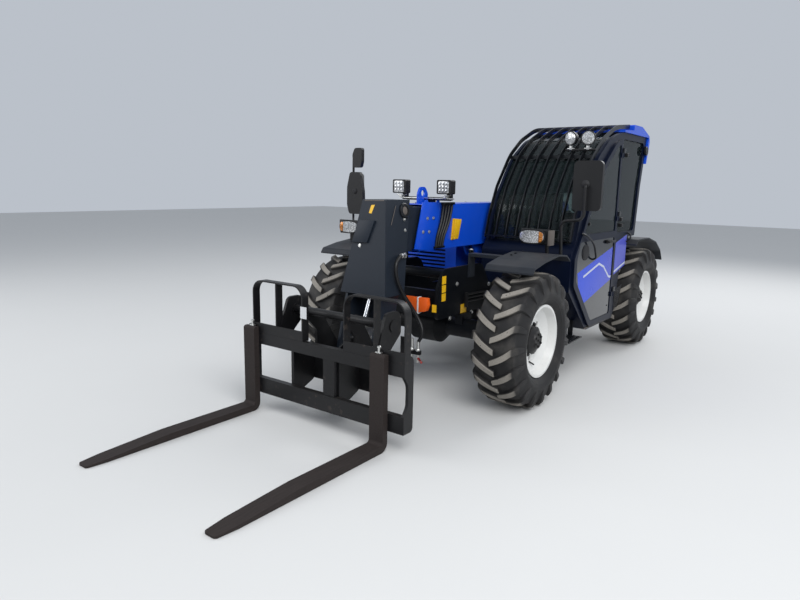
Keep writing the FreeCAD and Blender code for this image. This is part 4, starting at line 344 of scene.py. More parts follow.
@dataclass(frozen=True)
class Casting(Coat):
    """Painted rough metal with chips down to rust."""

    colour: Colour
    rough: float = 0.5
    chips: float = 0.3
    dust: float = 0.15
    rust: Colour = (0.09, 0.045, 0.028)

    def shade(self, graph: Graph) -> Sock:
        """Fills the tree."""
        clouds = graph.noise(4.0, 6.0)
        grit = graph.noise(90.0, 8.0)
        scars = graph.noise(26.0, 9.0).step(0.60, 0.66) * clouds.step(0.45, 0.7) * self.chips
        top = graph.facing("Z").step(0.6, 1.0)
        dust = ((top * 0.8 + 0.15) * clouds * self.dust).clamp()
        bare = graph.mix(grit, self.rust, (0.17, 0.15, 0.13))
        tint = graph.mix(dust, graph.mix(scars.clamp(), self.colour, bare), DUST)
        rough = (scars * 0.3 + dust * 0.3 + (self.rough + grit * 0.12)).clamp()
        return graph.surface(
            Base_Color=tint, Roughness=rough, Specular_IOR_Level=0.35,
            Normal=graph.bump(grit, 0.0006, 0.55))


@dataclass(frozen=True)
class Plastic(Coat):
    """Moulded plastic or rubber with a fine grain."""

    colour: Colour
    rough: float = 0.55
    grain: float = 420.0
    dust: float = 0.15

    def shade(self, graph: Graph) -> Sock:
        """Fills the tree."""
        clouds = graph.noise(5.0, 4.0)
        pits = graph.noise(self.grain, 2.0)
        top = graph.facing("Z").step(0.35, 1.0)
        dust = ((top * 0.7 + 0.1) * clouds.step(0.3, 0.8) * self.dust).clamp()
        tint = graph.mix(dust, self.colour, DUST)
        rough = dust * 0.3 + (self.rough + pits * 0.08)
        return graph.surface(
            Base_Color=tint, Roughness=rough, Specular_IOR_Level=0.35,
            Normal=graph.bump(pits, 0.00025, 0.6))


@dataclass(frozen=True)
class TyreRubber(Coat):
    """Tyre rubber: dusty worn lug faces, ringed side walls and dirt between the lugs."""

    front_y: float
    rear_y: float
    hub_z: float
    lug_radius: float
    root_radius: float
    ring_pitch: float = 1250.0

    def shade(self, graph: Graph) -> Sock:
        """Fills the tree."""
        middle = (self.front_y + self.rear_y) / 2
        rear = graph.axis("Y").math("GREATER_THAN", middle)
        along = graph.axis("Y") - (rear * (self.rear_y - self.front_y) + self.front_y)
        up = graph.axis("Z") - self.hub_z
        radius = (along * along + up * up).math("SQRT")
        clouds = graph.noise(7.0, 6.0)
        grit = graph.noise(130.0, 5.0)
        chips = graph.noise(38.0, 4.0).step(0.66, 0.70)
        face = radius.step(self.lug_radius - 0.016, self.lug_radius - 0.004)
        root = radius.step(self.root_radius - 0.05, self.root_radius) * (1.0 - face)
        side = 1.0 - radius.step(self.root_radius - 0.11, self.root_radius - 0.02)
        worn = face * (clouds * 0.35 + 0.62) * (1.0 - chips * 0.8)
        film = root * clouds.step(0.4, 0.8) * 0.14 + side * clouds.step(0.5, 0.8) * 0.12
        dirt = (worn + film).clamp()
        black = graph.mix(clouds, (0.010, 0.010, 0.011), (0.021, 0.020, 0.020))
        dry = graph.mix(grit, (0.21, 0.192, 0.168), (0.40, 0.37, 0.325))
        tint = graph.mix(dirt, black, dry)
        rings = (radius * self.ring_pitch).math("SINE") * side * radius.step(0.29, 0.33)
        height = grit * 0.35 + rings * 0.3
        return graph.surface(
            Base_Color=tint, Roughness=dirt * 0.25 + 0.6, Specular_IOR_Level=0.3,
            Normal=graph.bump(height, 0.0008, 0.7))


@dataclass(frozen=True)
class Glass(Coat):
    """Tinted safety glass, seen through and mirrored."""

    tint: Colour
    veil: float = 0.1

    def shade(self, graph: Graph) -> Sock:
        """Fills the tree."""
        smear = graph.noise(4.0, 5.0).step(0.4, 0.8)
        mirror = graph.surface(
            Base_Color=(0.02, 0.028, 0.03, 1.0), Roughness=smear * 0.05 + 0.02, IOR=1.5)
        through = graph.add("ShaderNodeBsdfTransparent", None, {"Color": (*self.tint, 1.0)})
        edge = graph.add("ShaderNodeLayerWeight", None, {"Blend": 0.35}, "Fresnel")
        share = (edge * 0.75 + self.veil).clamp()
        return graph.add("ShaderNodeMixShader", None, {0: share, 1: through, 2: mirror})


@dataclass(frozen=True)
class BareSteel(Coat):
    """Bright or rusted bare metal."""

    colour: Colour
    rough: float = 0.25
    rust: float = 0.0
    rust_colour: Colour = (0.048, 0.030, 0.026)
    ridge: float = 0.0005

    def shade(self, graph: Graph) -> Sock:
        """Fills the tree."""
        clouds = graph.noise(6.0, 7.0)
        streaks = graph.noise(30.0, 6.0, (3.0, 0.35, 3.0))
        patches = clouds * 0.55 + streaks * 0.45
        edge = patches.step(0.62 - self.rust * 0.5, 0.82 - self.rust * 0.4)
        blush = (edge * min(self.rust * 1.3, 1.0)).clamp()
        crust = graph.mix(streaks, self.rust_colour, darker(self.rust_colour, 0.45))
        tint = graph.mix(blush, self.colour, crust)
        return graph.surface(
            Base_Color=tint, Roughness=(blush * 0.35 + (self.rough + streaks * 0.1)).clamp(),
            Metallic=(1.0 - blush) * 0.97, Specular_IOR_Level=0.4,
            Normal=graph.bump(streaks, self.ridge, 0.5))


@dataclass(frozen=True)
class Glow(Coat):
    """A clear moulded lens over a bright reflector."""

    colour: Colour
    facets: float = 90.0

    def shade(self, graph: Graph) -> Sock:
        """Fills the tree."""
        cells = graph.add("ShaderNodeTexVoronoi", None,
                          {"Vector": graph.place(), "Scale": self.facets}, "Distance")
        tint = graph.mix(cells.step(0.1, 0.6), self.colour, darker(self.colour, 0.35))
        return graph.surface(
            Base_Color=tint, Roughness=cells * 0.1 + 0.06, Metallic=0.4, Coat_Weight=1.0,
            Coat_Roughness=0.03, Normal=graph.bump(cells, 0.0008, 0.5))


@dataclass(frozen=True)
class Vinyl(Coat):
    """Grained seat cover."""

    colour: Colour

    def shade(self, graph: Graph) -> Sock:
        """Fills the tree."""
        grain = graph.add("ShaderNodeTexVoronoi", None,
                          {"Vector": graph.place(), "Scale": 330.0}, "Distance")
        clouds = graph.noise(8.0, 4.0)
        tint = graph.mix(clouds * 0.4, self.colour, darker(self.colour, 1.7))
        return graph.surface(
            Base_Color=tint, Roughness=clouds * 0.15 + 0.42, Normal=graph.bump(grain, 0.0006, 0.5))


class Finish(Enum):
    """Every finish on the machine."""

    BOOM_BLUE = Paint("boom_blue", (0.003, 0.070, 0.60), 0.28, 0.2, 0.06, 0.35, 0.00006)
    NAVY = Paint("cab_navy", (0.003, 0.006, 0.018), 0.30, 0.02, 0.03, 0.12, 0.00003)
    CHASSIS = Paint("chassis_black", (0.003, 0.004, 0.006), 0.38, 0.02, 0.08, 0.16)
    HEAD = Paint("head_charcoal", (0.011, 0.016, 0.025), 0.42, 0.02, 0.04, 0.26)
    GUARD = Paint("guard_black", (0.004, 0.005, 0.007), 0.28, 0.12, 0.04, 0.32)
    RIM = Paint("rim_white", (0.74, 0.74, 0.72), 0.34, 0.2, 0.30)
    HUB = Paint("hub_black", (0.008, 0.008, 0.009), 0.42, 0.05, 0.2, 0.3)
    DOOR = Paint("door_gloss", (0.004, 0.006, 0.010), 0.07, 0.30, 0.03, 0.5, 0.00002)
    BAND = Band("band_blue", (0.004, 0.055, 0.62), 0.22, 0.05, 0.0, 0.25, 0.00003,
                (0.085, 0.100, 0.50))
    STRIPE = Paint("stripe_white", (0.52, 0.56, 0.70), 0.28, 0.2, 0.04)
    TYRE = TyreRubber("tyre_rubber", -0.282, 2.358, 0.522, 0.522, 0.490)
    CARRIAGE = Casting("carriage_black", (0.004, 0.004, 0.005), 0.36, 0.25, 0.06)
    WEIGHT = Casting("weight_iron", (0.007, 0.008, 0.010), 0.5, 0.2, 0.12)
    FORK = BareSteel("fork_steel", (0.034, 0.029, 0.027), 0.42, 0.9, (0.026, 0.018, 0.016))
    CHROME = BareSteel("rod_chrome", (0.62, 0.63, 0.65), 0.12, ridge=0.00001)
    ZINC = BareSteel("zinc", (0.62, 0.62, 0.60), 0.28, 0.05)
    FENDER = Plastic("fender_plastic", (0.011, 0.014, 0.020), 0.48, 380.0, 0.07)
    CASE = Plastic("black_case", (0.007, 0.007, 0.008), 0.42, 300.0, 0.06)
    DASH = Plastic("dash_grain", (0.014, 0.014, 0.016), 0.6, 500.0, 0.05)
    HOSE = Plastic("hose_rubber", (0.007, 0.007, 0.008), 0.40, 600.0, 0.08)
    GREY = Plastic("grey_bracket", (0.105, 0.090, 0.080), 0.55, 260.0, 0.1)
    TAG = Paint("blank_tag", (0.62, 0.63, 0.64), 0.4, 0.1, 0.1)
    ORANGE = Paint("orange_paint", (0.80, 0.115, 0.012), 0.35, 0.2, 0.06)
    YELLOW = Paint("yellow_paint", (0.82, 0.47, 0.01), 0.4, 0.2, 0.05)
    SEAT = Vinyl("seat_vinyl", (0.016, 0.016, 0.018))
    PANE = Glass("pane", (0.80, 0.88, 0.87), 0.30)
    SIDE_PANE = Glass("side_pane", (0.78, 0.84, 0.82), 0.42)
    LENS = Glow("lamp_lens", (0.90, 0.91, 0.92))
    AMBER = Glow("amber_lens", (0.90, 0.30, 0.02))
    RED = Glow("red_lens", (0.62, 0.02, 0.015))
    MIRROR = BareSteel("mirror_face", (0.86, 0.88, 0.90), 0.02, ridge=0.000002)

    def material(self) -> bpy.types.Material:
        """The finish's material, made once."""
        made = bpy.data.materials.get("finish_" + self.name.lower())
        if made is None:
            made = self.value.make()
            made.name = "finish_" + self.name.lower()
        return made


class Form:
    """Closed shapes gathered in one mesh, which becomes one piece of the machine."""

    def __init__(self, name: str) -> None:
        """Starts an empty piece."""
        self.name = name
        self.mesh = bmesh.new()

    def soften(self, corners: list, bevel: float) -> None:
        """Rounds every edge between some corners.

        Args:
            corners: the new shape's corners.
            bevel: the rounding in metres, 0 for none.
        """
        if bevel <= 0:
            return
        own = set(corners)
        edges = [edge for edge in {edge for corner in corners for edge in corner.link_edges}
                 if edge.verts[0] in own and edge.verts[1] in own]
        bmesh.ops.bevel(self.mesh, geom=edges, offset=bevel, offset_type="OFFSET", segments=2,
                        profile=0.5, affect="EDGES", clamp_overlap=True)

    def slab(self, corners: list[Point], push: Point, bevel: float = 0.0) -> "Form":
        """A flat plate: a face pushed through its thickness.

        Args:
            corners: the face's corners in order.
            push: the thickness as a way.
            bevel: the rounding of its edges.

        Returns:
            The form.
        """
        low = [self.mesh.verts.new(Vector(corner)) for corner in corners]
        high = [self.mesh.verts.new(Vector(corner) + Vector(push)) for corner in corners]
        self.mesh.faces.new(low)
        self.mesh.faces.new(list(reversed(high)))
        for index in range(len(corners)):
            other = (index + 1) % len(corners)
            self.mesh.faces.new((low[index], high[index], high[other], low[other]))
        self.soften(low + high, bevel)
        return self

    def side(self, x: float, points: list[Flat], thick: float, bevel: float = 0.0) -> "Form":
        """A plate drawn in Y and Z that stands at one X."""
        return self.slab([(x, y, z) for y, z in points], (thick, 0, 0), bevel)

    def face(self, y: float, points: list[Flat], thick: float, bevel: float = 0.0) -> "Form":
        """A plate drawn in X and Z that stands at one Y."""
        return self.slab([(x, y, z) for x, z in points], (0, thick, 0), bevel)

    def block(self, low: Point, high: Point, bevel: float = 0.0) -> "Form":
        """A block between two corners with rounded edges."""
        corners = [(low[0], low[1]), (high[0], low[1]), (high[0], high[1]), (low[0], high[1])]
        return self.slab([(x, y, low[2]) for x, y in corners], (0, 0, high[2] - low[2]), bevel)

    def turned(self, foot: Point, way: Point, rows: list[Flat], sides: int = 32,
               loop: bool = False) -> "Form":
        """A turned shape.

        Args:
            foot: the point on the axis that lengths count from.
            way: the axis.
            rows: lengths along the axis with radii.
            sides: faces round it.
            loop: whether the last row joins the first, as on a ring.

        Returns:
            The form.
        """
        axis = Vector(way).normalized()
        first = axis.orthogonal().normalized()
        second = axis.cross(first)
        rings = []
        for along, radius in rows:
            centre = Vector(foot) + axis * along
            turns = [2 * math.pi * index / sides for index in range(sides)]
            rings.append([self.mesh.verts.new(
                centre + (first * math.cos(turn) + second * math.sin(turn)) * radius)
                for turn in turns])
        pairs = list(zip(rings, rings[1:])) + ([(rings[-1], rings[0])] if loop else [])
        for lower, upper in pairs:
            for index in range(sides):
                other = (index + 1) % sides
                self.mesh.faces.new((lower[index], lower[other], upper[other], upper[index]))
        if not loop:
            self.mesh.faces.new(rings[0])
            self.mesh.faces.new(rings[-1])
        return self

    def rod(self, start: Point, end: Point, radius: float, sides: int = 20) -> "Form":
        """A round bar between two points, its ends slightly rounded."""
        way = Vector(end) - Vector(start)
        length = way.length
        ease = min(radius * 0.2, length * 0.25)
        return self.turned(start, way, [(0, radius - ease), (ease, radius),
                                        (length - ease, radius), (length, radius - ease)], sides)

    def pipe(self, points: list[Point], radius: float, detail: int = 3) -> "Form":
        """A bent round tube on a smooth line.

        Args:
            points: the line's control points.
            radius: the tube's radius.
            detail: how fine the round is.

        Returns:
            The form.
        """
        curve = bpy.data.curves.new(self.name + "_line", "CURVE")
        curve.dimensions = "3D"
        curve.bevel_depth = radius
        curve.bevel_resolution = detail
        curve.use_fill_caps = True
        curve.resolution_u = 8
        spline = curve.splines.new("NURBS")
        spline.points.add(len(points) - 1)
        for knot, point in zip(spline.points, points):
            knot.co = (*point, 1.0)
        spline.order_u = 3
        spline.use_endpoint_u = True
        holder = bpy.data.objects.new(curve.name, curve)
        data = bpy.data.meshes.new_from_object(holder)
        self.mesh.from_mesh(data)
        bpy.data.objects.remove(holder)
        bpy.data.curves.remove(curve)
        bpy.data.meshes.remove(data)
        return self

    def done(self, body: str, finish: Finish, *stands_for: str) -> bpy.types.Object:
        """Closes the mesh and makes it a piece.

        Args:
            body: the moving body that it rides on.
            finish: its finish.
            stands_for: the CAD nodes that it replaces.

        Returns:
            The piece.
        """
        bmesh.ops.remove_doubles(self.mesh, verts=self.mesh.verts, dist=WELD_LENGTH)
        bmesh.ops.recalc_face_normals(self.mesh, faces=self.mesh.faces)
        data = bpy.data.meshes.new(self.name)
        self.mesh.to_mesh(data)
        self.mesh.free()
        return settle(self.name, data, body, finish, *stands_for)


def settle(name: str, data: bpy.types.Mesh, body: str, finish: Finish,
           *stands_for: str) -> bpy.types.Object:
    """Makes a finished mesh a piece that rides on a body.

    Args:
        name: the piece's name.
        data: its mesh, in place.
        body: the moving body that it rides on.
        finish: its finish.
        stands_for: the CAD nodes that it replaces.

    Returns:
        The piece.
    """
    data.materials.clear()
    data.materials.append(finish.material())
    data.shade_smooth()
    data.set_sharp_from_angle(angle=SHARP_ANGLE)
    piece = bpy.data.objects.new(name, data)
    bpy.context.scene.collection.objects.link(piece)
    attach(piece, body)
    if stands_for:
        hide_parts(*stands_for)
    LOG.info("%s: %d faces on %s", name, len(data.polygons), body)
    return piece


class Grower(NodeSet):
    """A Geometry Nodes tree with named inputs that turns seed points into a repeated solid."""

    def __init__(self, name: str, sizes: dict[str, float | str]) -> None:
        """Starts the tree.

        Args:
            name: the tree's name.
            sizes: each input's name with its number, or with its socket's type.
        """
        super().__init__(bpy.data.node_groups.new(name, "GeometryNodeTree"))
        face = self.tree.interface
        face.new_socket("Points", in_out="INPUT", socket_type="NodeSocketGeometry")
        self.keys = {}
        for label, value in sizes.items():
            is_number = isinstance(value, float)
            item = face.new_socket(label, in_out="INPUT",
                                   socket_type="NodeSocketFloat" if is_number else value)
            if is_number:
                item.default_value = value
            self.keys[label] = item.identifier
        face.new_socket("Solid", in_out="OUTPUT", socket_type="NodeSocketGeometry")
        self.entry = self.tree.nodes.new("NodeGroupInput")

    def given(self, label: str) -> Sock:
        """One of the tree's inputs."""
        return Sock(self, self.entry.outputs[label])

    def vector(self, x: Sock | float, y: Sock | float, z: Sock | float) -> Sock:
        """A vector from three numbers."""
        return self.add("ShaderNodeCombineXYZ", None, {0: x, 1: y, 2: z})

    def moved(self, shape: Sock, z: Sock | float) -> Sock:
        """A shape raised along Z."""
        return self.add("GeometryNodeTransform", None,
                        {"Geometry": shape, "Translation": self.vector(0.0, 0.0, z)})

    def spread(self, solid: Sock) -> None:
        """Sets the solid on every seed, turned to its axis and grown to its grade; ends the tree.

        Args:
            solid: the shape that repeats.
        """
        axis = self.add("GeometryNodeInputNamedAttribute", {"data_type": "FLOAT_VECTOR"},
                        {"Name": "axis"})
        grade = self.add("GeometryNodeInputNamedAttribute", {"data_type": "FLOAT"},
                         {"Name": "grade"})
        turn = self.add("FunctionNodeAlignRotationToVector", {"axis": "Z"}, {"Vector": axis})
        placed = self.add("GeometryNodeInstanceOnPoints", None, {
            "Points": self.given("Points"), "Instance": solid, "Rotation": turn, "Scale": grade})
        real = self.add("GeometryNodeRealizeInstances", None, {0: placed})
        coated = self.add("GeometryNodeSetMaterial", None,
                          {"Geometry": real, "Material": self.given("Finish")})
        out = self.tree.nodes.new("NodeGroupOutput")
        self.tree.links.new(coated.link, out.inputs[0])

    def grow(self, name: str, body: str, finish: Finish, seeds: list[tuple[Point, Point, float]],
             **sizes: "float | bpy.types.Object") -> bpy.types.Object:
        """Runs the tree on some seeds and keeps the result as a plain piece.

        Args:
            name: the piece's name.
            body: the body that it rides on.
            finish: its finish.
            seeds: points, each with its axis and grade.
            sizes: values for the inputs, with low lines for spaces.

        Returns:
            The piece.
        """
        data = bpy.data.meshes.new(name + "_seeds")
        data.from_pydata([spot for spot, _, _ in seeds], [], [])
        data.attributes.new("axis", "FLOAT_VECTOR", "POINT")
        data.attributes.new("grade", "FLOAT", "POINT")
        for index, (_, axis, grade) in enumerate(seeds):
            data.attributes["axis"].data[index].vector = Vector(axis).normalized()
            data.attributes["grade"].data[index].value = grade
        holder = bpy.data.objects.new(name + "_seeds", data)
        bpy.context.scene.collection.objects.link(holder)
        step = holder.modifiers.new("grow", "NODES")
        step.node_group = self.tree
        step[self.keys["Finish"]] = finish.material()
        for key, value in sizes.items():
            step[self.keys[key.replace("_", " ")]] = value
        shape = bpy.data.meshes.new_from_object(
            holder.evaluated_get(bpy.context.evaluated_depsgraph_get()))
        holder.modifiers.clear()
        bpy.data.objects.remove(holder)
        return settle(name, shape, body, finish)


class BoltTree(Grower):
    """Hex bolt heads with a chamfer and a washer."""

    def __init__(self) -> None:
        """Builds the tree."""
        super().__init__("bolt_tree", {
            "Head": 0.02, "Height": 0.009,
            "Finish": "NodeSocketMaterial"})
        head, height = self.given("Head"), self.given("Height")
        hexagon = self.add("GeometryNodeMeshCylinder", None, {
            "Vertices": 6, "Radius": head * 0.577, "Depth": height * 0.8})
        crown = self.add("GeometryNodeMeshCone", None, {
            "Vertices": 6, "Radius Bottom": head * 0.577, "Radius Top": head * 0.47,
            "Depth": height * 0.2})
        washer = self.add("GeometryNodeMeshCylinder", None, {
            "Vertices": 18, "Radius": head * 0.85, "Depth": height * 0.25})
        self.spread(self.add("GeometryNodeJoinGeometry", None, {0: [
            self.moved(hexagon, height * 0.6), self.moved(crown, height),
            self.moved(washer, height * 0.06)]}))


class StudTree(Grower):
    """Round-headed rivets, plugs and lamp cells: a low drum with a domed top."""

    def __init__(self) -> None:
        """Builds the tree."""
        super().__init__("stud_tree", {
            "Width": 0.016, "Height": 0.006,
            "Finish": "NodeSocketMaterial"})
        width, height = self.given("Width"), self.given("Height")
        drum = self.add("GeometryNodeMeshCylinder", None, {
            "Vertices": 16, "Radius": width * 0.5, "Depth": height})
        dome = self.add("GeometryNodeMeshCone", None, {
            "Vertices": 16, "Radius Bottom": width * 0.5, "Radius Top": width * 0.3,
            "Depth": height * 0.5})
        self.spread(self.add("GeometryNodeJoinGeometry", None, {0: [
            self.moved(drum, height * 0.4), self.moved(dome, height * 0.9)]}))


class SlatTree(Grower):
    """Louvre slats: flat bars that tilt with each seed's axis."""

    def __init__(self) -> None:
        """Builds the tree."""
        super().__init__("slat_tree", {
            "Across": 0.02, "Along": 0.3,
            "Thick": 0.003, "Finish": "NodeSocketMaterial"})
        size = self.vector(self.given("Across"), self.given("Along"), self.given("Thick"))
        self.spread(self.add("GeometryNodeMeshCube", None, {"Size": size}))


class LugTree(Grower):
    """Tread lugs: one modelled lug set round the axle on seeds that point outwards."""

    def __init__(self) -> None:
        """Builds the tree."""
        super().__init__("lug_tree", {"Lug": "NodeSocketObject",
                                      "Finish": "NodeSocketMaterial"})
        self.spread(self.add("GeometryNodeObjectInfo", None,
                             {"Object": self.given("Lug")}, "Geometry"))


@dataclass
class Tools:
    """The growing trees that the sub-assemblies share."""

    bolts: BoltTree = field(default_factory=BoltTree)
    studs: StudTree = field(default_factory=StudTree)
    slats: SlatTree = field(default_factory=SlatTree)
    lugs: LugTree = field(default_factory=LugTree)


@dataclass
class WheelDress:
    """One wheel: a smooth tyre with chevron lugs, wheel nuts and hub plugs."""

    tools: Tools
    corner: str
    lug_count: int = 19
    lug_pitch_radius: float = 0.522
    swing: float = 0.0592
    wide: float = 0.027
    disc_x: float = 0.062
    nut_circle: float = 0.119
    plug_circle: float = 0.046
    nose_x: float = 0.130
    outline: tuple[Flat, ...] = (
        (0.150, 0.284), (0.158, 0.290), (0.172, 0.305), (0.184, 0.320), (0.188, 0.326),
        (0.188, 0.331), (0.192, 0.338), (0.1955, 0.350), (0.1965, 0.362), (0.193, 0.378),
        (0.187, 0.395), (0.179, 0.420), (0.1695, 0.452), (0.1580, 0.4790), (0.1400, 0.4845),
        (0.100, 0.4865), (0.050, 0.4875))
    lining: tuple[Flat, ...] = ((0.146, 0.2645), (0.125, 0.2645), (0.135, 0.300),
                                (0.165, 0.345), (0.155, 0.440), (0.090, 0.465))
    stations: tuple[tuple[float, ...], ...] = (
        (-0.014, 0.5215, -0.014, 0.474, -1.00, 0.80), (0.020, 0.5220, 0.020, 0.474, -0.74, 0.86),
        (0.055, 0.5220, 0.055, 0.474, -0.42, 0.92), (0.090, 0.5212, 0.090, 0.474, -0.05, 0.98),
        (0.122, 0.5192, 0.120, 0.472, 0.36, 1.04), (0.148, 0.5150, 0.142, 0.468, 0.74, 1.08),
        (0.166, 0.5060, 0.152, 0.458, 0.90, 1.10), (0.179, 0.4900, 0.160, 0.445, 0.96, 1.08),
        (0.187, 0.4660, 0.166, 0.430, 0.99, 1.04), (0.192, 0.4350, 0.172, 0.410, 1.00, 0.98),
        (0.1945, 0.4050, 0.180, 0.392, 1.00, 0.90), (0.1955, 0.3750, 0.186, 0.372, 1.00, 0.78))

    def build(self) -> None:
        """Makes the wheel's pieces."""
        low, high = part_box("tyre_" + self.corner)
        self.centre = (low + high) / 2
        self.side = 1.0 if self.centre.x > 0 else -1.0
        self.body = "wheel_" + self.corner
        self.make_carcass()
        self.make_lugs()
        self.make_fasteners()

    def make_carcass(self) -> None:
        """The tyre without its lugs, a closed turned shell."""
        ring = [(-x, radius) for x, radius in self.outline] + [(0.0, 0.488)]
        ring += [(x, radius) for x, radius in reversed(self.outline)]
        ring += list(self.lining) + [(0.0, 0.468)]
        ring += [(-x, radius) for x, radius in reversed(self.lining)]
        form = Form("tyre_carcass_" + self.corner)
        form.turned(tuple(self.centre), (1, 0, 0), ring, 96, loop=True)
        form.done(self.body, Finish.TYRE, "tyre_" + self.corner)

    def lug_form(self, hand: float) -> bpy.types.Object:
        """One lug about the axle's centre, at the top of the tyre.

        Args:
            hand: 1 for the outboard row and -1 for the other.

        Returns:
            An object that the tree repeats.
        """
        form = Form("lug")
        rows = []
        for x, radius, foot_x, foot, shift, grow in self.stations:
            half = self.wide * grow
            middle = self.swing * shift
            out = Vector((x - foot_x, radius - foot)).normalized()
            row = []
            for across, drop in ((-1.22, None), (-1.0, 0.010), (-0.86, 0.0015), (0.86, 0.0015),
                                 (1.0, 0.010), (1.22, None)):
                if drop is None:
                    spot_x, spot_r = foot_x, foot
                else:
                    spot_x, spot_r = x - out.x * drop, radius - out.y * drop
                turn = (middle + half * across) / self.lug_pitch_radius
                row.append(form.mesh.verts.new((hand * self.side * spot_x,
                                                spot_r * math.sin(turn), spot_r * math.cos(turn))))
            rows.append(row)
        for row, following in zip(rows, rows[1:]):
            for index in range(6):
                other = (index + 1) % 6
                form.mesh.faces.new((row[index], row[other], following[other], following[index]))
        form.mesh.faces.new(rows[0])
        form.mesh.faces.new(rows[-1])
        bmesh.ops.recalc_face_normals(form.mesh, faces=form.mesh.faces)
        data = bpy.data.meshes.new("lug")
        form.mesh.to_mesh(data)
        form.mesh.free()
        return bpy.data.objects.new("lug", data)

    def make_lugs(self) -> None:
        """Both staggered rows of lugs."""
        for label, hand, start in (("outer", 1.0, 0.02), ("inner", -1.0, 0.52)):
            lug = self.lug_form(hand)
            seeds = []
            for index in range(self.lug_count):
                turn = 2 * math.pi * (index + start) / self.lug_count
                seeds.append((tuple(self.centre), (0.0, math.sin(turn), math.cos(turn)), 1.0))
            self.tools.lugs.grow("tread_%s_%s" % (label, self.corner), self.body, Finish.TYRE,
                                 seeds, Lug=lug)
            bpy.data.objects.remove(lug)

    def ring(self, x: float, radius: float, count: int, start: float) -> list:
        """Seeds on a circle round the axle that point outboard.

        Args:
            x: how far outboard of the tyre's middle.
            radius: the circle's radius.
            count: how many.
            start: the first one's turn in steps.

        Returns:
            The seeds.
        """
        seeds = []
        for index in range(count):
            turn = 2 * math.pi * (index + start) / count
            seeds.append(((self.centre.x + self.side * x,
                           self.centre.y + radius * math.sin(turn),
                           self.centre.z + radius * math.cos(turn)), (self.side, 0.0, 0.0), 1.0))
        return seeds

    def make_fasteners(self) -> None:
        """Wheel nuts on the disc, and plugs on the hub's nose."""
        self.tools.bolts.grow("wheel_nuts_" + self.corner, self.body, Finish.HUB,
                              self.ring(self.disc_x, self.nut_circle, 8, 0.5),
                              Head=0.022, Height=0.016)
        self.tools.bolts.grow("hub_plugs_" + self.corner, self.body, Finish.HUB,
                              self.ring(self.nose_x, self.plug_circle, 6, 0.0)
                              + self.ring(self.nose_x, 0.0, 1, 0.0), Head=0.015, Height=0.008)
        stem = Form("valve_" + self.corner)
        spot = self.centre + Vector((self.side * 0.060, 0.0, -0.176))
        tip = spot + Vector((self.side * 0.045, 0.0, -0.018))
        stem.rod(tuple(spot), tuple(tip), 0.006, 12)
        stem.done(self.body, Finish.CASE)


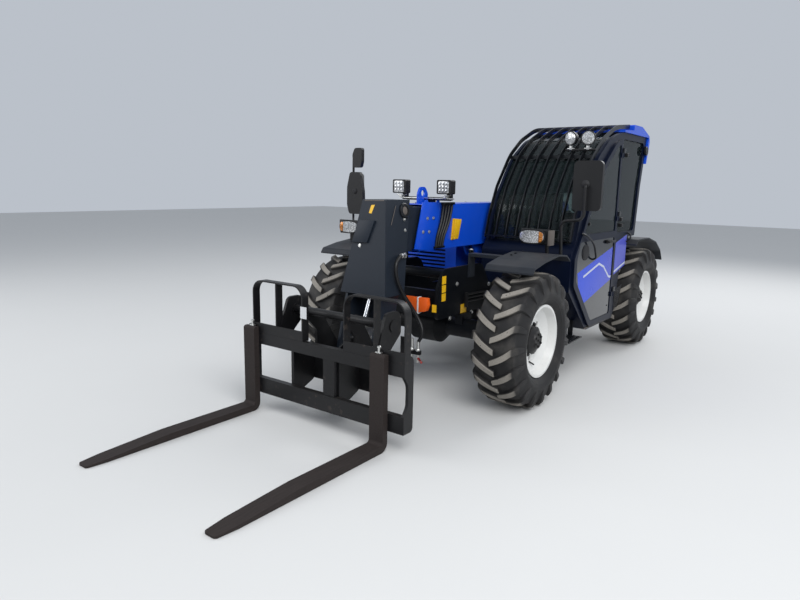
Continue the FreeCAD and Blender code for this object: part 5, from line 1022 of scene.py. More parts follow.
@dataclass
class BoomDress:
    """The outer boom's side plate, hoses, bracket, wear pads and work lamps."""

    tools: Tools
    side_x: float = 0.0503
    plate: tuple[Flat, ...] = ((-0.529, 1.535), (-0.500, 1.535), (-0.494, 1.552), (-0.464, 1.552),
                               (-0.458, 1.534), (-0.330, 1.533), (-0.324, 1.550), (-0.296, 1.550),
                               (-0.290, 1.533), (-0.260, 1.532), (-0.356, 1.139), (-0.630, 1.172))
    hoses: tuple[tuple[Flat, Flat], ...] = (
        ((-0.244, 1.528), (-0.343, 1.176)), ((-0.201, 1.528), (-0.310, 1.176)),
        ((-0.157, 1.528), (-0.277, 1.176)), ((-0.112, 1.528), (-0.245, 1.176)))
    bracket: tuple[Flat, ...] = ((-0.069, 1.395), (0.072, 1.384), (0.025, 1.220), (-0.091, 1.214))
    lamps: tuple[float, float] = (0.155, -0.285)
    lamp_front: float = -0.387
    lamp_z: float = 1.660
    cell_steps: tuple[tuple[float, ...], ...] = ((-0.030, 0.0, 0.030), (-0.032, -0.004, 0.024))

    def build(self) -> None:
        """Makes the boom's pieces."""
        x = self.side_x
        Form("boom_side_plate").side(x, list(self.plate), 0.010, 0.0015).done(
            "outer_boom", Finish.BOOM_BLUE)
        spots = ((-0.463, 1.408), (-0.379, 1.408), (-0.520, 1.302), (-0.435, 1.300))
        self.tools.bolts.grow("plate_bolts", "outer_boom", Finish.ZINC,
                              [((x + 0.010, y, z), (1, 0, 0), 1.0) for y, z in spots],
                              Head=0.017, Height=0.008)
        rails = Form("hose_clamps")
        rails.block((x, -0.268, 1.512), (x + 0.034, -0.090, 1.534), 0.003)
        rails.block((x, -0.368, 1.160), (x + 0.030, -0.222, 1.178), 0.003)
        rails.done("outer_boom", Finish.GUARD)
        lines = Form("boom_hoses")
        for (top_y, top_z), (low_y, low_z) in self.hoses:
            middle = ((top_y + low_y) / 2 + 0.006, (top_z + low_z) / 2)
            lines.pipe([(x + 0.017, top_y, top_z - 0.012), (x + 0.018, top_y - 0.008, top_z - 0.07),
                        (x + 0.024, *middle), (x + 0.018, low_y + 0.008, low_z + 0.07),
                        (x + 0.016, low_y, low_z - 0.006)], 0.0115, 3)
        lines.done("outer_boom", Finish.HOSE)
        Form("boom_bracket").side(x, list(self.bracket), 0.006, 0.001).side(
            x + 0.006, [(-0.060, 1.392), (-0.048, 1.391), (-0.066, 1.224), (-0.078, 1.224)],
            0.022, 0.001).done("outer_boom", Finish.YELLOW)
        self.make_pads()
        self.make_lamps()

    def make_pads(self) -> None:
        """Bolts over the wear pads."""
        x = self.side_x
        seeds = [((x, y, z), (1, 0, 0), 1.0) for y in (1.90, 2.02) for z in (1.21, 1.46)]
        seeds += [((-0.1803, y, z), (-1, 0, 0), 1.0)
                  for y in (-0.42, -0.34, 0.25, 0.36, 1.90, 2.02) for z in (1.21, 1.46)]
        seeds += [((px, y, 1.5203), (0, 0, 1), 1.0) for y in (-0.36, 0.45, 2.05)
                  for px in (-0.135, 0.005)]
        self.tools.bolts.grow("wear_pad_bolts", "outer_boom", Finish.ZINC, seeds,
                              Head=0.016, Height=0.007)

    def make_lamps(self) -> None:
        """Lens, cells, cooling ribs and bright brackets of both boom lamps."""
        cells = []
        ribs = []
        lens = Form("boom_lamp_lenses")
        straps = Form("boom_lamp_brackets")
        front = self.lamp_front
        for centre in self.lamps:
            corners = [(-0.050, -0.045), (-0.040, -0.052), (0.040, -0.052), (0.050, -0.045),
                       (0.050, 0.033), (0.040, 0.042), (-0.040, 0.042), (-0.050, 0.033)]
            lens.face(front - 0.005, [(centre + dx, self.lamp_z + dz) for dx, dz in corners],
                      0.005, 0.001)
            cells += [((centre + dx, front - 0.005, self.lamp_z + dz), (0, -1, 0), 1.0)
                      for dx in self.cell_steps[0] for dz in self.cell_steps[1]]
            ribs += [((centre, -0.316, 1.625 + 0.018 * step), (0, 0, 1), 1.0) for step in range(5)]
            straps.block((centre - 0.032, -0.372, 1.584), (centre + 0.032, -0.318, 1.592), 0.001)
            straps.block((centre - 0.015, -0.365, 1.566), (centre + 0.015, -0.325, 1.586), 0.002)
        straps.block((-0.300, -0.352, 1.560), (0.215, -0.318, 1.568), 0.002)
        lens.done("outer_boom", Finish.LENS)
        straps.done("outer_boom", Finish.ZINC)
        self.tools.studs.grow("boom_lamp_cells", "outer_boom", Finish.CHROME, cells,
                              Width=0.022, Height=0.003)
        self.tools.slats.grow("boom_lamp_ribs", "outer_boom", Finish.CASE, ribs,
                              Across=0.112, Along=0.010, Thick=0.004)


@dataclass
class HeadDress:
    """The boom head's cover, pin cap, fittings, and the hose to the tool couplings."""

    tools: Tools
    lean: Point = (0.0, -0.98, 0.18)
    front_reach: float = 1.2497
    cheek: Point = (0.989, 0.0, 0.150)
    cheek_x: float = 0.058
    cheek_slope: float = 0.1517
    pin: Flat = (-0.776, 1.475)
    hose: tuple[Point, ...] = (
        (0.098, -0.835, 1.142), (0.118, -0.862, 1.150), (0.140, -0.930, 1.145),
        (0.158, -1.008, 1.100), (0.160, -1.000, 0.990), (0.172, -0.925, 0.865),
        (0.200, -0.835, 0.745), (0.248, -0.815, 0.660), (0.290, -0.830, 0.600),
        (0.292, -0.838, 0.545), (0.262, -0.842, 0.498))

    def front(self, x: float, z: float, out: float = 0.0) -> Point:
        """A point on the head's sloping front.

        Args:
            x: its place across.
            z: its height.
            out: metres proud of the face.

        Returns:
            The point.
        """
        y = (self.front_reach - self.lean[2] * z) / self.lean[1]
        return (x + self.lean[0] * out, y + self.lean[1] * out, z + self.lean[2] * out)

    def on_cheek(self, y: float, z: float, out: float = 0.0) -> Point:
        """A point on the head's left face.

        Args:
            y: its place along.
            z: its height.
            out: metres proud of the face.

        Returns:
            The point.
        """
        x = self.cheek_x + (self.pin[1] - z) * self.cheek_slope
        return (x + self.cheek[0] * out, y, z + self.cheek[2] * out)

    def build(self) -> None:
        """Makes the head's pieces."""
        push = tuple(part * 0.016 for part in self.lean)
        cover = [(-0.175, 1.402), (-0.024, 1.404), (-0.072, 1.240), (-0.218, 1.235)]
        Form("head_cover").slab([self.front(x, z) for x, z in cover], push, 0.002).done(
            "inner_boom", Finish.HEAD)
        Form("head_tag").slab([self.front(x, z, 0.0004) for x, z in (
            (-0.083, 1.516), (-0.050, 1.519), (-0.073, 1.454), (-0.098, 1.458))],
            tuple(part * 0.001 for part in self.lean)).done("inner_boom", Finish.YELLOW)
        Form("head_edge").rod(self.front(-0.152, 1.548, -0.004), self.front(0.030, 1.552, -0.004),
                              0.006).done("inner_boom", Finish.GREY)
        self.tools.bolts.grow("head_screws", "inner_boom", Finish.ZINC, [
            (self.front(-0.147, 1.216), self.lean, 1.0),
            (self.on_cheek(-0.787, 1.517), self.cheek, 1.1),
            (self.on_cheek(-0.787, 1.411), self.cheek, 1.1),
            (self.on_cheek(-0.787, 1.330, -0.0026), self.cheek, 1.0)], Head=0.016, Height=0.007)
        ring = Form("head_pin_ring")
        ring.turned(self.on_cheek(*self.pin), self.cheek,
                    [(-0.004, 0.058), (0.008, 0.058), (0.012, 0.052), (0.012, 0.034),
                     (-0.004, 0.034)], 40, loop=True)
        ring.done("inner_boom", Finish.GUARD)
        Form("head_pin").turned(self.on_cheek(*self.pin), self.cheek,
                                [(-0.006, 0.033), (0.006, 0.033), (0.009, 0.028)], 40).done(
            "inner_boom", Finish.GREY)
        Form("head_seam").rod(self.on_cheek(-0.878, 1.513, 0.001),
                              self.on_cheek(-0.958, 1.374, 0.001), 0.0025, 10).done(
            "inner_boom", Finish.GREY)
        self.make_hose()

    def make_hose(self) -> None:
        """The hose with both end fittings, the coupling bank and its red cap."""
        Form("head_hose").pipe(list(self.hose), 0.0135, 4).done("inner_boom", Finish.HOSE)
        elbow = Form("head_elbow")
        elbow.rod(self.on_cheek(-0.835, 1.142, -0.004), self.on_cheek(-0.835, 1.142, 0.014), 0.021)
        elbow.rod((0.108, -0.838, 1.144), (0.132, -0.905, 1.148), 0.0175)
        elbow.done("inner_boom", Finish.ZINC)
        bank = Form("coupling_bank")
        bank.block((0.140, -0.860, 0.400), (0.285, -0.828, 0.432), 0.003)
        bank.block((0.100, -0.850, 0.380), (0.160, -0.838, 0.520), 0.002)
        bank.done("inner_boom", Finish.CARRIAGE)
        plugs = Form("coupling_plugs")
        for x, top, tilt in ((0.165, 0.500, -0.012), (0.205, 0.520, 0.0), (0.262, 0.505, 0.0)):
            plugs.rod((x, -0.844, 0.400), (x + tilt, -0.844, top), 0.0135)
            plugs.rod((x, -0.844, 0.424), (x, -0.844, 0.446), 0.0185, 6)
            plugs.rod((x, -0.844, 0.340), (x, -0.844, 0.404), 0.0115)
        plugs.done("inner_boom", Finish.ZINC)
        Form("coupling_handle").rod((0.268, -0.848, 0.372), (0.322, -0.880, 0.355), 0.010).done(
            "inner_boom", Finish.RED)


@dataclass
class FrameDress:
    """The orange transport stay with its foot, blank tags, bolts, pipes, and the rear's pieces."""

    tools: Tools
    side_x: float = 0.3302

    def build(self) -> None:
        """Makes the frame's pieces."""
        stay = [(0.033, 0.815), (0.263, 0.820), (0.272, 0.765), (0.253, 0.718), (0.160, 0.694),
                (0.076, 0.751)]
        Form("orange_stay").face(-0.742, stay, 0.040, 0.004).done("chassis", Finish.ORANGE)
        foot = Form("stay_foot")
        foot.block((0.110, -0.7035, 0.730), (0.210, -0.6505, 0.790), 0.003)
        foot.done("chassis", Finish.CHASSIS)
        strap = Form("stay_strap")
        strap.block((0.172, -0.7445, 0.690), (0.186, -0.7015, 0.822), 0.002)
        strap.done("chassis", Finish.TAG)
        tags = Form("frame_tags")
        tags.face(-0.7035, [(0.286, 0.712), (0.326, 0.712), (0.326, 0.771), (0.286, 0.771)], 0.0014)
        for low, high in ((0.790, 0.850), (0.858, 0.915), (0.923, 0.985)):
            tags.side(0.3301, [(-0.640, low), (-0.585, low), (-0.585, high), (-0.640, high)],
                      0.0014)
        tags.side(0.3301, [(-0.353, 0.655), (-0.262, 0.655), (-0.262, 0.728), (-0.353, 0.728)],
                  0.0014)
        tags.done("chassis", Finish.YELLOW)
        spots = ((1, -0.42, 0.903), (1, -0.51, 0.640), (1, -0.18, 0.640), (1, 0.10, 0.845),
                 (-1, -0.42, 0.903), (-1, -0.18, 0.640))
        self.tools.bolts.grow("frame_bolts", "chassis", Finish.ZINC, [
            ((side * self.side_x, y, z), (side, 0, 0), 1.0) for side, y, z in spots],
            Head=0.022, Height=0.010)
        lines = Form("frame_pipes")
        for step in range(3):
            z = 0.800 - 0.028 * step
            lines.pipe([(0.340, -0.30, z), (0.342, -0.10, z), (0.342, 0.25, z - 0.02),
                        (0.342, 0.60, z - 0.02), (0.340, 0.95, z - 0.02)], 0.009, 2)
        for y in (-0.29, 0.30, 0.94):
            lines.block((0.3300, y - 0.012, 0.700), (0.3560, y + 0.012, 0.820), 0.003)
        lines.done("chassis", Finish.HOSE)
        self.make_rear()

    def make_rear(self) -> None:
        """Tail lamps, a blank plate and the tow pin at the back."""
        cases = Form("tail_cases")
        red = Form("tail_red")
        amber = Form("tail_amber")
        for side in (-1, 1):
            x = side * 0.845
            cases.block((x - 0.085, 2.9230, 0.905), (x + 0.085, 2.9550, 0.995), 0.006)
            cases.block((x - 0.050, 2.8700, 0.885), (x + 0.050, 2.9300, 0.915), 0.004)
            middle = x + side * 0.006
            for form, low, high in ((red, x - side * 0.078, middle - side * 0.003),
                                    (amber, middle, x + side * 0.078)):
                low, high = sorted((low, high))
                form.block((low, 2.9555, 0.912), (high, 2.9640, 0.988), 0.004)
        cases.done("chassis", Finish.CASE)
        amber.done("chassis", Finish.AMBER)
        red.done("chassis", Finish.RED)
        Form("plate_blank").block((-0.130, 2.9935, 0.800), (0.130, 2.9985, 0.910), 0.0015).done(
            "chassis", Finish.TAG)
        pin = Form("tow_pin")
        pin.block((-0.055, 2.960, 0.535), (0.055, 3.030, 0.560), 0.004)
        pin.block((-0.055, 2.960, 0.640), (0.055, 3.030, 0.665), 0.004)
        pin.rod((0.0, 3.002, 0.515), (0.0, 3.002, 0.705), 0.014)
        pin.done("chassis", Finish.CARRIAGE)


@dataclass
class CarriageDress:
    """A blank tag on the carriage, and the latches on top of the forks."""

    tools: Tools
    fork_middles: Flat = (-0.635, 0.545)

    def build(self) -> None:
        """Makes the carriage's pieces."""
        Form("carriage_tag").face(-1.6634, [(-0.158, 0.754), (-0.100, 0.754), (-0.100, 0.836),
                                            (-0.158, 0.836)], 0.0016).done("carriage", Finish.TAG)
        latches = Form("fork_latches")
        seeds = []
        for x in self.fork_middles:
            latches.block((x - 0.022, -1.6900, 0.6342), (x + 0.022, -1.6660, 0.6440), 0.002)
            latches.rod((x, -1.6780, 0.6420), (x, -1.6780, 0.6720), 0.008, 16)
            seeds.append(((x, -1.6780, 0.6715), (0, 0, 1), 1.0))
        latches.done("carriage", Finish.ZINC)
        self.tools.studs.grow("fork_knobs", "carriage", Finish.ZINC, seeds,
                              Width=0.026, Height=0.008)


@dataclass
class DoorDress:
    """The door's printed band, stripe, rail, handles and the quarter panel beside it."""

    tools: Tools
    door_x: float = 0.9516
    quarter_x: float = 0.9352
    stripe: tuple[Flat, ...] = ((0.662, 0.907), (1.043, 0.991), (1.174, 0.952), (1.330, 0.844),
                                (1.380, 0.836), (2.002, 0.963))

    def ribbon(self, points: list[Flat], width: float) -> list[Flat]:
        """A strip of one width along a line in Y and Z.

        Args:
            points: the line.
            width: the strip's width.

        Returns:
            Its outline.
        """
        left, right = [], []
        for index, point in enumerate(points):
            spot = Vector(point)
            before = Vector(points[max(index - 1, 0)])
            after = Vector(points[min(index + 1, len(points) - 1)])
            first = (spot - before) if index else (after - spot)
            second = (after - spot) if index < len(points) - 1 else (spot - before)
            way = (first.normalized() + second.normalized()).normalized()
            grow = 1.0 / max(way.dot(second.normalized()), 0.5)
            out = Vector((-way.y, way.x)) * (width / 2 * grow)
            left.append(tuple(spot + out))
            right.append(tuple(spot - out))
        return left + right[::-1]

    def build(self) -> None:
        """Makes the door's pieces."""
        door = [(0.520, 0.953), (1.396, 1.124), (1.396, 0.811), (0.668, 0.658), (0.600, 0.733),
                (0.552, 0.838)]
        Form("door_band").side(self.door_x, door, 0.0006).done("door", Finish.BAND)
        quarter = [(1.530, 1.151), (1.860, 1.216), (1.860, 0.907), (1.530, 0.838)]
        Form("quarter_band").side(self.quarter_x, quarter, 0.0006).done("chassis", Finish.BAND)
        line = [point for point in self.stripe if point[0] < 1.39] + [(1.396, 0.839)]
        Form("door_stripe").side(self.door_x + 0.0007, self.ribbon(line, 0.020), 0.0005).done(
            "door", Finish.STRIPE)
        Form("quarter_stripe").side(self.quarter_x + 0.0007, self.ribbon(
            [(1.532, 0.867), (1.858, 0.934)], 0.020), 0.0005).done("chassis", Finish.STRIPE)
        self.make_handles()

    def make_handles(self) -> None:
        """Rail, oval cover, latch, fittings, grille, sill and rivets."""
        x = self.door_x
        Form("door_rail").pipe([(x + 0.001, 0.560, 1.290), (x + 0.030, 0.575, 1.283),
                                (x + 0.034, 0.780, 1.198), (x + 0.034, 0.842, 1.090),
                                (x + 0.034, 0.858, 1.055), (x + 0.001, 0.861, 1.046)],
                               0.0085, 3).done("door", Finish.GUARD)
        oval = Form("door_oval")
        turns = [step / 16 * math.pi for step in range(32)]
        for proud, wide, high, thick in ((0.0, 0.080, 0.068, 0.005), (0.0045, 0.066, 0.055, 0.003)):
            oval.side(x + proud, [(0.676 + wide * math.cos(turn), 1.120 + high * math.sin(turn))
                                  for turn in turns], thick, 0.001)
        oval.done("door", Finish.DASH)
        latch = Form("door_latch")
        latch.block((x, 1.190, 1.165), (x + 0.020, 1.275, 1.200), 0.005)
        latch.block((x + 0.018, 1.200, 1.170), (x + 0.032, 1.392, 1.192), 0.005)
        latch.block((0.9495, 0.700, 1.352), (0.9650, 0.728, 1.378), 0.004)
        latch.done("door", Finish.CASE)
        rear = Form("quarter_fittings")
        rear.pipe([(0.9355, 1.860, 1.232), (0.975, 1.858, 1.228), (0.975, 1.845, 1.155),
                   (0.9355, 1.842, 1.146)], 0.008, 3)
        for y, z in ((1.600, 1.378), (1.622, 1.318), (1.628, 1.990)):
            rear.block((0.9160, y - 0.022, z - 0.018), (0.9560, y + 0.022, z + 0.018), 0.004)
        rear.done("chassis", Finish.CASE)
        grille = Form("quarter_grille")
        grille.side(self.quarter_x, [(1.592, 0.679), (1.810, 0.710), (1.713, 0.520),
                                     (1.596, 0.466)], 0.004, 0.001)
        grille.done("chassis", Finish.DASH)
        seeds = [((self.quarter_x + 0.006, 1.652, 0.500 + 0.020 * step), (0.45, 0.0, 1.0), 1.0)
                 for step in range(9)]
        self.tools.slats.grow("quarter_slats", "chassis", Finish.CASE, seeds,
                              Across=0.012, Along=0.085, Thick=0.003)
        sill = Form("door_sill")
        sill.block((0.9360, 0.800, 0.4135), (0.9440, 1.400, 0.4235), 0.002)
        sill.done("chassis", Finish.GREY)
        self.tools.studs.grow("door_rivets", "door", Finish.GUARD, [
            ((x + 0.0005, y, z), (1, 0, 0), 1.0) for y, z in (
                (1.30, 1.185), (1.36, 1.185), (0.80, 0.540), (1.35, 0.560))],
            Width=0.012, Height=0.004)


@dataclass
class CabDress:
    """Guard lamps, wiper boss, step, the seat's pads and the small controls."""

    tools: Tools
    softness: float = 0.72
    crown_rise: float = 0.012
    seam_depth: float = 0.010
    seam_width: float = 0.035
    waist: float = 0.03

    def build(self) -> None:
        """Makes the cab's pieces."""
        self.make_lamps()
        self.make_step()
        self.make_seat()
        self.make_controls()

    def make_lamps(self) -> None:
        """Two round lamps on the roof guard, and the lamp at the roof's rear corner."""
        cases = Form("guard_lamp_cases")
        lens = Form("guard_lamp_lenses")
        posts = Form("guard_lamp_posts")
        for x, way in ((0.690, (-0.30, -0.95, -0.05)), (0.844, (0.10, -0.99, -0.05))):
            spot = (x, 0.850, 2.100)
            cases.turned(spot, way, [(-0.055, 0.030), (-0.030, 0.052), (0.000, 0.062),
                                     (0.020, 0.064), (0.022, 0.056)], 36)
            lens.turned(spot, way, [(0.0222, 0.055), (0.027, 0.050), (0.030, 0.030)], 36)
            posts.block((x - 0.012, 0.838, 2.000), (x + 0.012, 0.862, 2.050), 0.003)
            posts.block((x - 0.030, 0.835, 2.008), (x + 0.030, 0.865, 2.016), 0.002)
        cases.rod((0.640, 0.850, 2.000), (0.915, 0.850, 2.000), 0.011)
        cases.done("chassis", Finish.CASE)
        lens.done("chassis", Finish.LENS)
        posts.done("chassis", Finish.ZINC)
        lamp = Form("roof_lamp")
        lamp.turned((0.9555, 2.215, 2.060), (1, 0, 0.05), [(-0.010, 0.046), (0.004, 0.046),
                                                         (0.008, 0.040)], 28)
        lamp.done("chassis", Finish.CASE)

    def make_step(self) -> None:
        """The step under the door's front with its hangers and studs."""
        step = Form("cab_step")
        step.block((0.800, 0.460, 0.345), (0.945, 0.760, 0.357), 0.003)
        for y, top in ((0.600, 0.6275), (0.745, 0.4960)):
            step.block((0.815, y - 0.006, 0.350), (0.860, y + 0.006, top), 0.002)
        step.done("chassis", Finish.GUARD)
        seeds = [((x, y / 100, 0.357), (0, 0, 1), 1.0) for x in (0.840, 0.880, 0.920)
                 for y in range(49, 76, 4)]
        self.tools.studs.grow("step_studs", "chassis", Finish.GUARD, seeds,
                              Width=0.014, Height=0.004)

    def pad(self, name: str, low: Point, high: Point, lean: float, channels: tuple[float, ...],
            upright: bool) -> bpy.types.Object:
        """A crowned cushion with sewn channels and pulled-in sides.

        Args:
            name: the pad's name.
            low: its lowest corner before it leans.
            high: its highest corner.
            lean: how far the top moves to the rear for a metre of height.
            channels: where the seams run across its width, from -1 to 1.
            upright: whether its crown faces the front and not the top.

        Returns:
            The pad.
        """
        form = Form(name)
        bmesh.ops.create_cube(form.mesh, size=2.0)
        bmesh.ops.subdivide_edges(form.mesh, edges=form.mesh.edges[:], cuts=17, use_grid_fill=True)
        half = (Vector(high) - Vector(low)) / 2
        middle = (Vector(high) + Vector(low)) / 2
        soft = min(half) * self.softness
        for corner in form.mesh.verts:
            u, v, w = corner.co
            spot = Vector((u * half.x, v * half.y, w * half.z))
            core = Vector([max(-limit + soft, min(limit - soft, part))
                           for part, limit in zip(spot, half)])
            out = spot - core
            if out.length > 1e-9:
                spot = core + out.normalized() * soft
            face, across = (w, (u, v)) if not upright else (-v, (u, w))
            crown = (1 - across[0] ** 2) * (1 - across[1] ** 2)
            dent = sum(math.exp(-((across[0] - seam) / self.seam_width) ** 2) for seam in channels)
            if face > 0.4:
                lift = self.crown_rise * crown - self.seam_depth * dent * (1 - across[1] ** 4)
                spot += Vector((0, -lift, 0)) if upright else Vector((0, 0, lift))
            spot.x *= 1 - self.waist * (1 - across[1] ** 2)
            spot.y += lean * (spot.z + half.z)
            corner.co = spot + middle
        piece = form.done("chassis", Finish.SEAT)
        return piece

    def make_seat(self) -> None:
        """Pads, base and folds of the driver's seat, in the place of its plain solid."""
        base = Form("seat_base")
        base.block((0.365, 1.093, 0.4145), (0.765, 1.503, 0.560), 0.012)
        for step in range(5):
            z = 0.558 + step * 0.0455
            fold = 0.008 * (step % 2)
            base.block((0.385 - fold, 1.115, z), (0.745 + fold, 1.485, z + 0.0480), 0.010)
        base.block((0.350, 1.070, 0.785), (0.780, 1.560, 0.852), 0.012)
        base.block((0.430, 1.530, 0.820), (0.690, 1.590, 0.990), 0.010)
        for x in (0.515, 0.605):
            base.rod((x, 1.645, 1.370), (x, 1.630, 1.480), 0.007)
        base.done("chassis", Finish.DASH, "seat")
        self.pad("seat_cushion", (0.327, 1.045, 0.843), (0.793, 1.530, 0.962), 0.0,
                 (-0.42, 0.42), False)
        self.pad("seat_back", (0.345, 1.535, 0.930), (0.775, 1.640, 1.420), 0.13,
                 (-0.42, 0.42), True)
        self.pad("seat_headrest", (0.430, 1.580, 1.430), (0.690, 1.665, 1.590), 0.10, (), True)

    def make_controls(self) -> None:
        """A console with its lever beside the seat, and the wiper's boss."""
        console = Form("side_console")
        console.block((0.180, 1.000, 0.8280), (0.310, 1.560, 0.862), 0.008)
        console.block((0.190, 1.020, 0.858), (0.300, 1.420, 0.885), 0.010)
        console.done("chassis", Finish.DASH)
        lever = Form("lever")
        lever.turned((0.245, 1.120, 0.880), (0, -0.15, 1), [
            (0.0, 0.034), (0.012, 0.030), (0.030, 0.014), (0.085, 0.012), (0.095, 0.020),
            (0.150, 0.024), (0.175, 0.020), (0.182, 0.010)], 24)
        lever.done("chassis", Finish.CASE)
        wiper = Form("door_window_wiper")
        wiper.rod((0.500, 0.492, 1.196), (0.500, 0.470, 1.212), 0.016)
        wiper.done("chassis", Finish.CASE)


@dataclass
class LampDress:
    """Road lamp lenses, their bezels and the mirrors' faces and knobs."""

    tools: Tools
    headlamps: tuple[Flat, ...] = ((0.740, 0.036), (-0.935, -0.269))

    def oval(self, x: float, y: float, z: float, wide: float, high: float) -> list[Point]:
        """Points of an oval in the X and Z plane.

        Args:
            x: its centre across.
            y: where it stands.
            z: its centre's height.
            wide: half its width.
            high: half its height.

        Returns:
            The points.
        """
        turns = [math.pi * 2 * step / 32 for step in range(32)]
        return [(x + wide * self.squarish(math.cos(turn)), y,
                 z + high * self.squarish(math.sin(turn))) for turn in turns]

    def squarish(self, part: float) -> float:
        """Widens a circle's part towards a rounded square."""
        return math.copysign(abs(part) ** 0.72, part)

    def build(self) -> None:
        """Makes the lamps' and mirrors' pieces."""
        bezels = Form("headlamp_bezels")
        lens = Form("headlamp_lenses")
        for x, y in self.headlamps:
            bezels.slab(self.oval(x, y + 0.012, 1.280, 0.116, 0.060), (0, -0.020, 0), 0.003)
            lens.slab(self.oval(x, y - 0.0085, 1.280, 0.103, 0.049), (0, -0.009, 0), 0.003)
        bezels.done("chassis", Finish.CASE)
        lens.done("chassis", Finish.LENS)
        turn = Form("turn_lamps")
        outline = ((0.062, 1.236), (0.086, 1.241), (0.098, 1.258), (0.098, 1.302),
                   (0.086, 1.319), (0.062, 1.324))
        for x, y in self.headlamps:
            side = 1 if x > 0 else -1
            turn.slab([(x + side * out, y - 0.018, z) for out, z in outline],
                      (0, -0.003, 0), 0.0008)
        turn.done("chassis", Finish.AMBER)
        bracket = Form("headlamp_bracket")
        bracket.slab([(0.878, 0.020, 1.215), (0.898, 0.020, 1.215), (0.898, 0.020, 1.335),
                      (0.878, 0.020, 1.335)], (0, 0.090, 0), 0.004)
        bracket.done("chassis", Finish.GREY)
        self.make_mirrors()

    def make_mirrors(self) -> None:
        """Mirror faces on the rear, knobs on the front."""
        faces = Form("mirror_faces")
        for x, y, z, wide, high in ((1.060, 0.3482, 1.688, 0.104, 0.182),
                                    (-1.080, 0.0134, 1.582, 0.082, 0.180),
                                    (-1.056, 0.0134, 1.911, 0.046, 0.080)):
            faces.slab([(x - wide, y, z - high), (x + wide, y, z - high), (x + wide, y, z + high),
                        (x - wide, y, z + high)], (0, 0.003, 0), 0.001)
        faces.done("chassis", Finish.MIRROR)
        knob = Form("mirror_knob")
        knob.turned((1.046, 0.3085, 1.700), (0, -1, 0), [(0.0, 0.034), (0.006, 0.034),
                                                       (0.009, 0.028), (0.016, 0.020),
                                                       (0.018, 0.012)], 28)
        knob.turned((-1.080, -0.0265, 1.600), (0, -1, 0), [(0.0, 0.026), (0.006, 0.026),
                                                        (0.014, 0.014)], 24)
        knob.done("chassis", Finish.DASH)


@dataclass
class FenderDress:
    """Bolts on the fenders' tops: place along, height and slope of the skin below each."""

    tools: Tools
    bolt_x: float = 0.70
    front: tuple[Point, ...] = ((-0.237, 1.1488, -0.12), (-0.169, 1.1570, -0.12),
                                (-0.030, 1.1606, 0.09))
    rear: tuple[Point, ...] = ((2.356, 1.1586, 0.20), (2.459, 1.1380, 0.20),
                               (2.562, 1.1174, 0.20))

    def build(self) -> None:
        """Makes the fenders' pieces; the hood covers the right rear fender's top."""
        for label, sides, spots in (("front", (-1, 1), self.front), ("rear", (1,), self.rear)):
            seeds = [((side * self.bolt_x, y, z), (0, slope, 1), 1.0)
                     for side in sides for y, z, slope in spots]
            self.tools.bolts.grow("fender_bolts_" + label, "chassis", Finish.GUARD, seeds,
                                  Head=0.016, Height=0.006)


@dataclass
class HoodDress:
    """Latches, rubber buffers and a slatted outlet of the engine hood."""

    tools: Tools

    def build(self) -> None:
        """Makes the hood's pieces."""
        latch = Form("hood_latches")
        for y in (0.900, 1.660):
            latch.block((-0.9420, y - 0.035, 0.860), (-0.9302, y + 0.035, 0.900), 0.003)
            latch.block((-0.9500, y - 0.012, 0.866), (-0.9415, y + 0.026, 0.880), 0.002)
        latch.done("hood", Finish.CASE)
        self.tools.studs.grow("hood_buffers", "hood", Finish.GUARD, [
            ((-0.9302, y, 0.840), (-1, 0, 0), 1.0) for y in (0.60, 1.25, 1.50)],
            Width=0.022, Height=0.006)
        self.make_rear_grille()

    def make_rear_grille(self) -> None:
        """A slatted outlet on the hood's rear face."""
        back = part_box("hood")[1].y
        frame = Form("hood_grille")
        for x in (-0.840, -0.310):
            frame.block((x - 0.012, back - 0.015, 1.176), (x + 0.012, back + 0.004, 1.242), 0.003)
        for z in (1.182, 1.236):
            frame.block((-0.850, back - 0.015, z - 0.006), (-0.300, back + 0.004, z + 0.006), 0.003)
        frame.done("hood", Finish.GUARD)
        seeds = [((-0.575, back - 0.003, 1.196 + 0.013 * step), (0.0, -0.5, 1.0), 1.0)
                 for step in range(3)]
        self.tools.slats.grow("hood_slats", "hood", Finish.CASE, seeds,
                              Across=0.520, Along=0.010, Thick=0.003)


@dataclass
class Photograph:
    """The camera at the photograph's place."""

    spot: Colour = (2.890, -4.647, 1.667)
    yaw: float = 36.42
    pitch: float = 10.39
    roll: float = 0.0195
    lens: float = 28.25
    sensor: float = 36.0

    def place(self) -> None:
        """Sets the scene's camera."""
        yaw = math.radians(self.yaw)
        pitch = math.radians(self.pitch)
        ahead = Vector((-math.sin(yaw) * math.cos(pitch), math.cos(yaw) * math.cos(pitch),
                        -math.sin(pitch)))
        level = Vector((math.cos(yaw), math.sin(yaw), 0.0))
        over = level.cross(ahead)
        right = level * math.cos(self.roll) + over * math.sin(self.roll)
        up = over * math.cos(self.roll) - level * math.sin(self.roll)
        data = bpy.data.cameras.new("camera")
        data.lens = self.lens
        data.sensor_width = self.sensor
        data.clip_end = 200.0
        camera = bpy.data.objects.new("camera", data)
        camera.matrix_world = Matrix.Translation(self.spot) @ Matrix(
            (right, up, -ahead)).transposed().to_4x4()
        bpy.context.scene.collection.objects.link(camera)
        bpy.context.scene.camera = camera


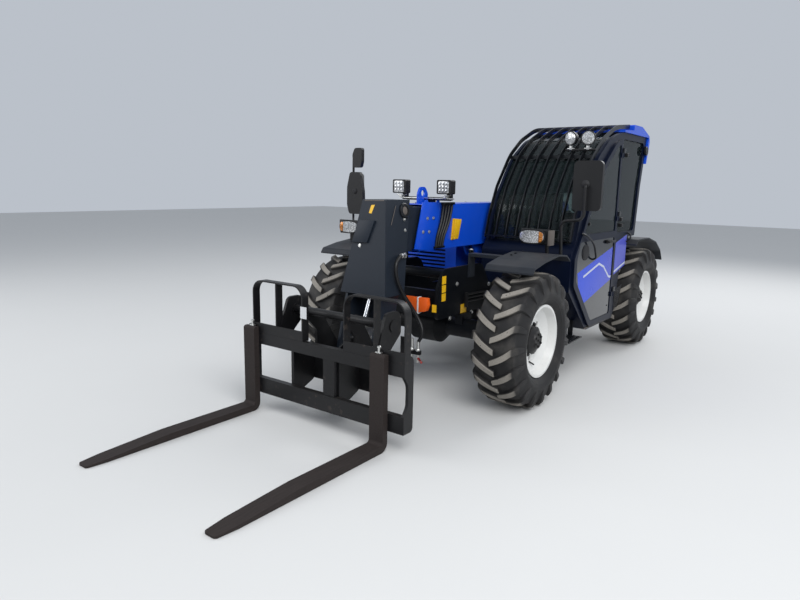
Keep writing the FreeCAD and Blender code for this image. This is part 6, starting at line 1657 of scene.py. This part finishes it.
@dataclass
class Studio:
    """A pale floor under plain soft light."""

    floor_size: float = 60.0
    floor_tint: Colour = (0.62, 0.62, 0.61)

    def build(self) -> None:
        """Makes the floor, the world and the lamps."""
        scene = bpy.context.scene
        scene.view_settings.view_transform = "Standard"
        half = self.floor_size / 2
        data = bpy.data.meshes.new("floor")
        data.from_pydata([(-half, -half, 0), (half, -half, 0), (half, half, 0), (-half, half, 0)],
                         [], [(0, 1, 2, 3)])
        floor = bpy.data.objects.new("floor", data)
        scene.collection.objects.link(floor)
        graph = Graph("floor_finish")
        clouds = graph.noise(1.5, 5.0)
        tint = graph.mix(clouds * 0.3, self.floor_tint, darker(self.floor_tint, 0.94))
        floor.data.materials.append(graph.finish(graph.surface(Base_Color=tint, Roughness=0.8)))
        world = bpy.data.worlds.new("world")
        world.use_nodes = True
        world.node_tree.nodes["Background"].inputs["Color"].default_value = (0.80, 0.86, 0.95, 1.0)
        world.node_tree.nodes["Background"].inputs["Strength"].default_value = 0.62
        scene.world = world
        self.lamp("key", (6.5, -5.5, 8.0), 7.0, 900.0)
        self.lamp("fill", (-7.0, -6.0, 5.0), 6.0, 260.0)
        self.lamp("back", (2.0, 8.0, 7.0), 6.0, 420.0)

    def lamp(self, name: str, spot: Colour, size: float, power: float) -> None:
        """One square soft box that looks at the machine's middle.

        Args:
            name: the lamp's name.
            spot: where it stands.
            size: the box's side.
            power: in watts.
        """
        data = bpy.data.lights.new(name, "AREA")
        data.size = size
        data.energy = power
        lamp = bpy.data.objects.new(name, data)
        lamp.location = spot
        look = Vector((0.0, 0.0, 0.8)) - Vector(spot)
        lamp.rotation_euler = look.to_track_quat("-Z", "Y").to_euler()
        bpy.context.scene.collection.objects.link(lamp)


SOLIDS: dict[Finish, str] = {
    Finish.TYRE: "tyre",
    Finish.RIM: "rim",
    Finish.HUB: "hub",
    Finish.CHASSIS: "knuckle axles frame engine_bay lift_barrel tilt_barrel",
    Finish.WEIGHT: "counterweight engine",
    Finish.CHROME: "steer_rod_front steer_rod_rear lift_rod tilt_rod",
    Finish.NAVY: "cab_frame door_frame",
    Finish.PANE: "cab_glass",
    Finish.BOOM_BLUE: "cab_roof hood boom_outer",
    Finish.GUARD: "roof_guard door_hinges",
    Finish.SIDE_PANE: "door_glass",
    Finish.DOOR: "door_panel",
    Finish.FENDER: "fenders_front fenders_rear",
    Finish.SEAT: "seat",
    Finish.DASH: "dashboard steering_wheel",
    Finish.CASE: "headlamps mirrors boom_lamps",
    Finish.HEAD: "boom_inner boom_head",
    Finish.CARRIAGE: "coupler carriage",
    Finish.FORK: "forks",
}
COATS = {kind: finish for finish, kinds in SOLIDS.items() for kind in kinds.split()}


def dress_nodes(nodes: dict[str, bpy.types.Object]) -> None:
    """Gives each carried-over solid its finish.

    Args:
        nodes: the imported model's objects by name.
    """
    for name, item in nodes.items():
        kind = name
        for corner in CORNERS:
            kind = kind.replace("_" + corner, "")
        finish = COATS.get(name) or COATS.get(kind, Finish.CHASSIS)
        for slot in item.material_slots:
            slot.material = finish.material()
    LOG.info("dressed %d solids", len(nodes))


def main() -> None:
    """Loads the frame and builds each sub-assembly."""
    logging.basicConfig(level=logging.INFO)
    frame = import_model()
    Photograph().place()
    Studio().build()
    dress_nodes(frame["nodes"])
    tools = Tools()
    for corner in CORNERS:
        WheelDress(tools, corner).build()
    for kind in (BoomDress, HeadDress, FrameDress, CarriageDress, DoorDress, CabDress, LampDress,
                 FenderDress, HoodDress):
        LOG.info("building %s", kind.__name__)
        kind(tools).build()


if __name__ == "__main__":
    main()
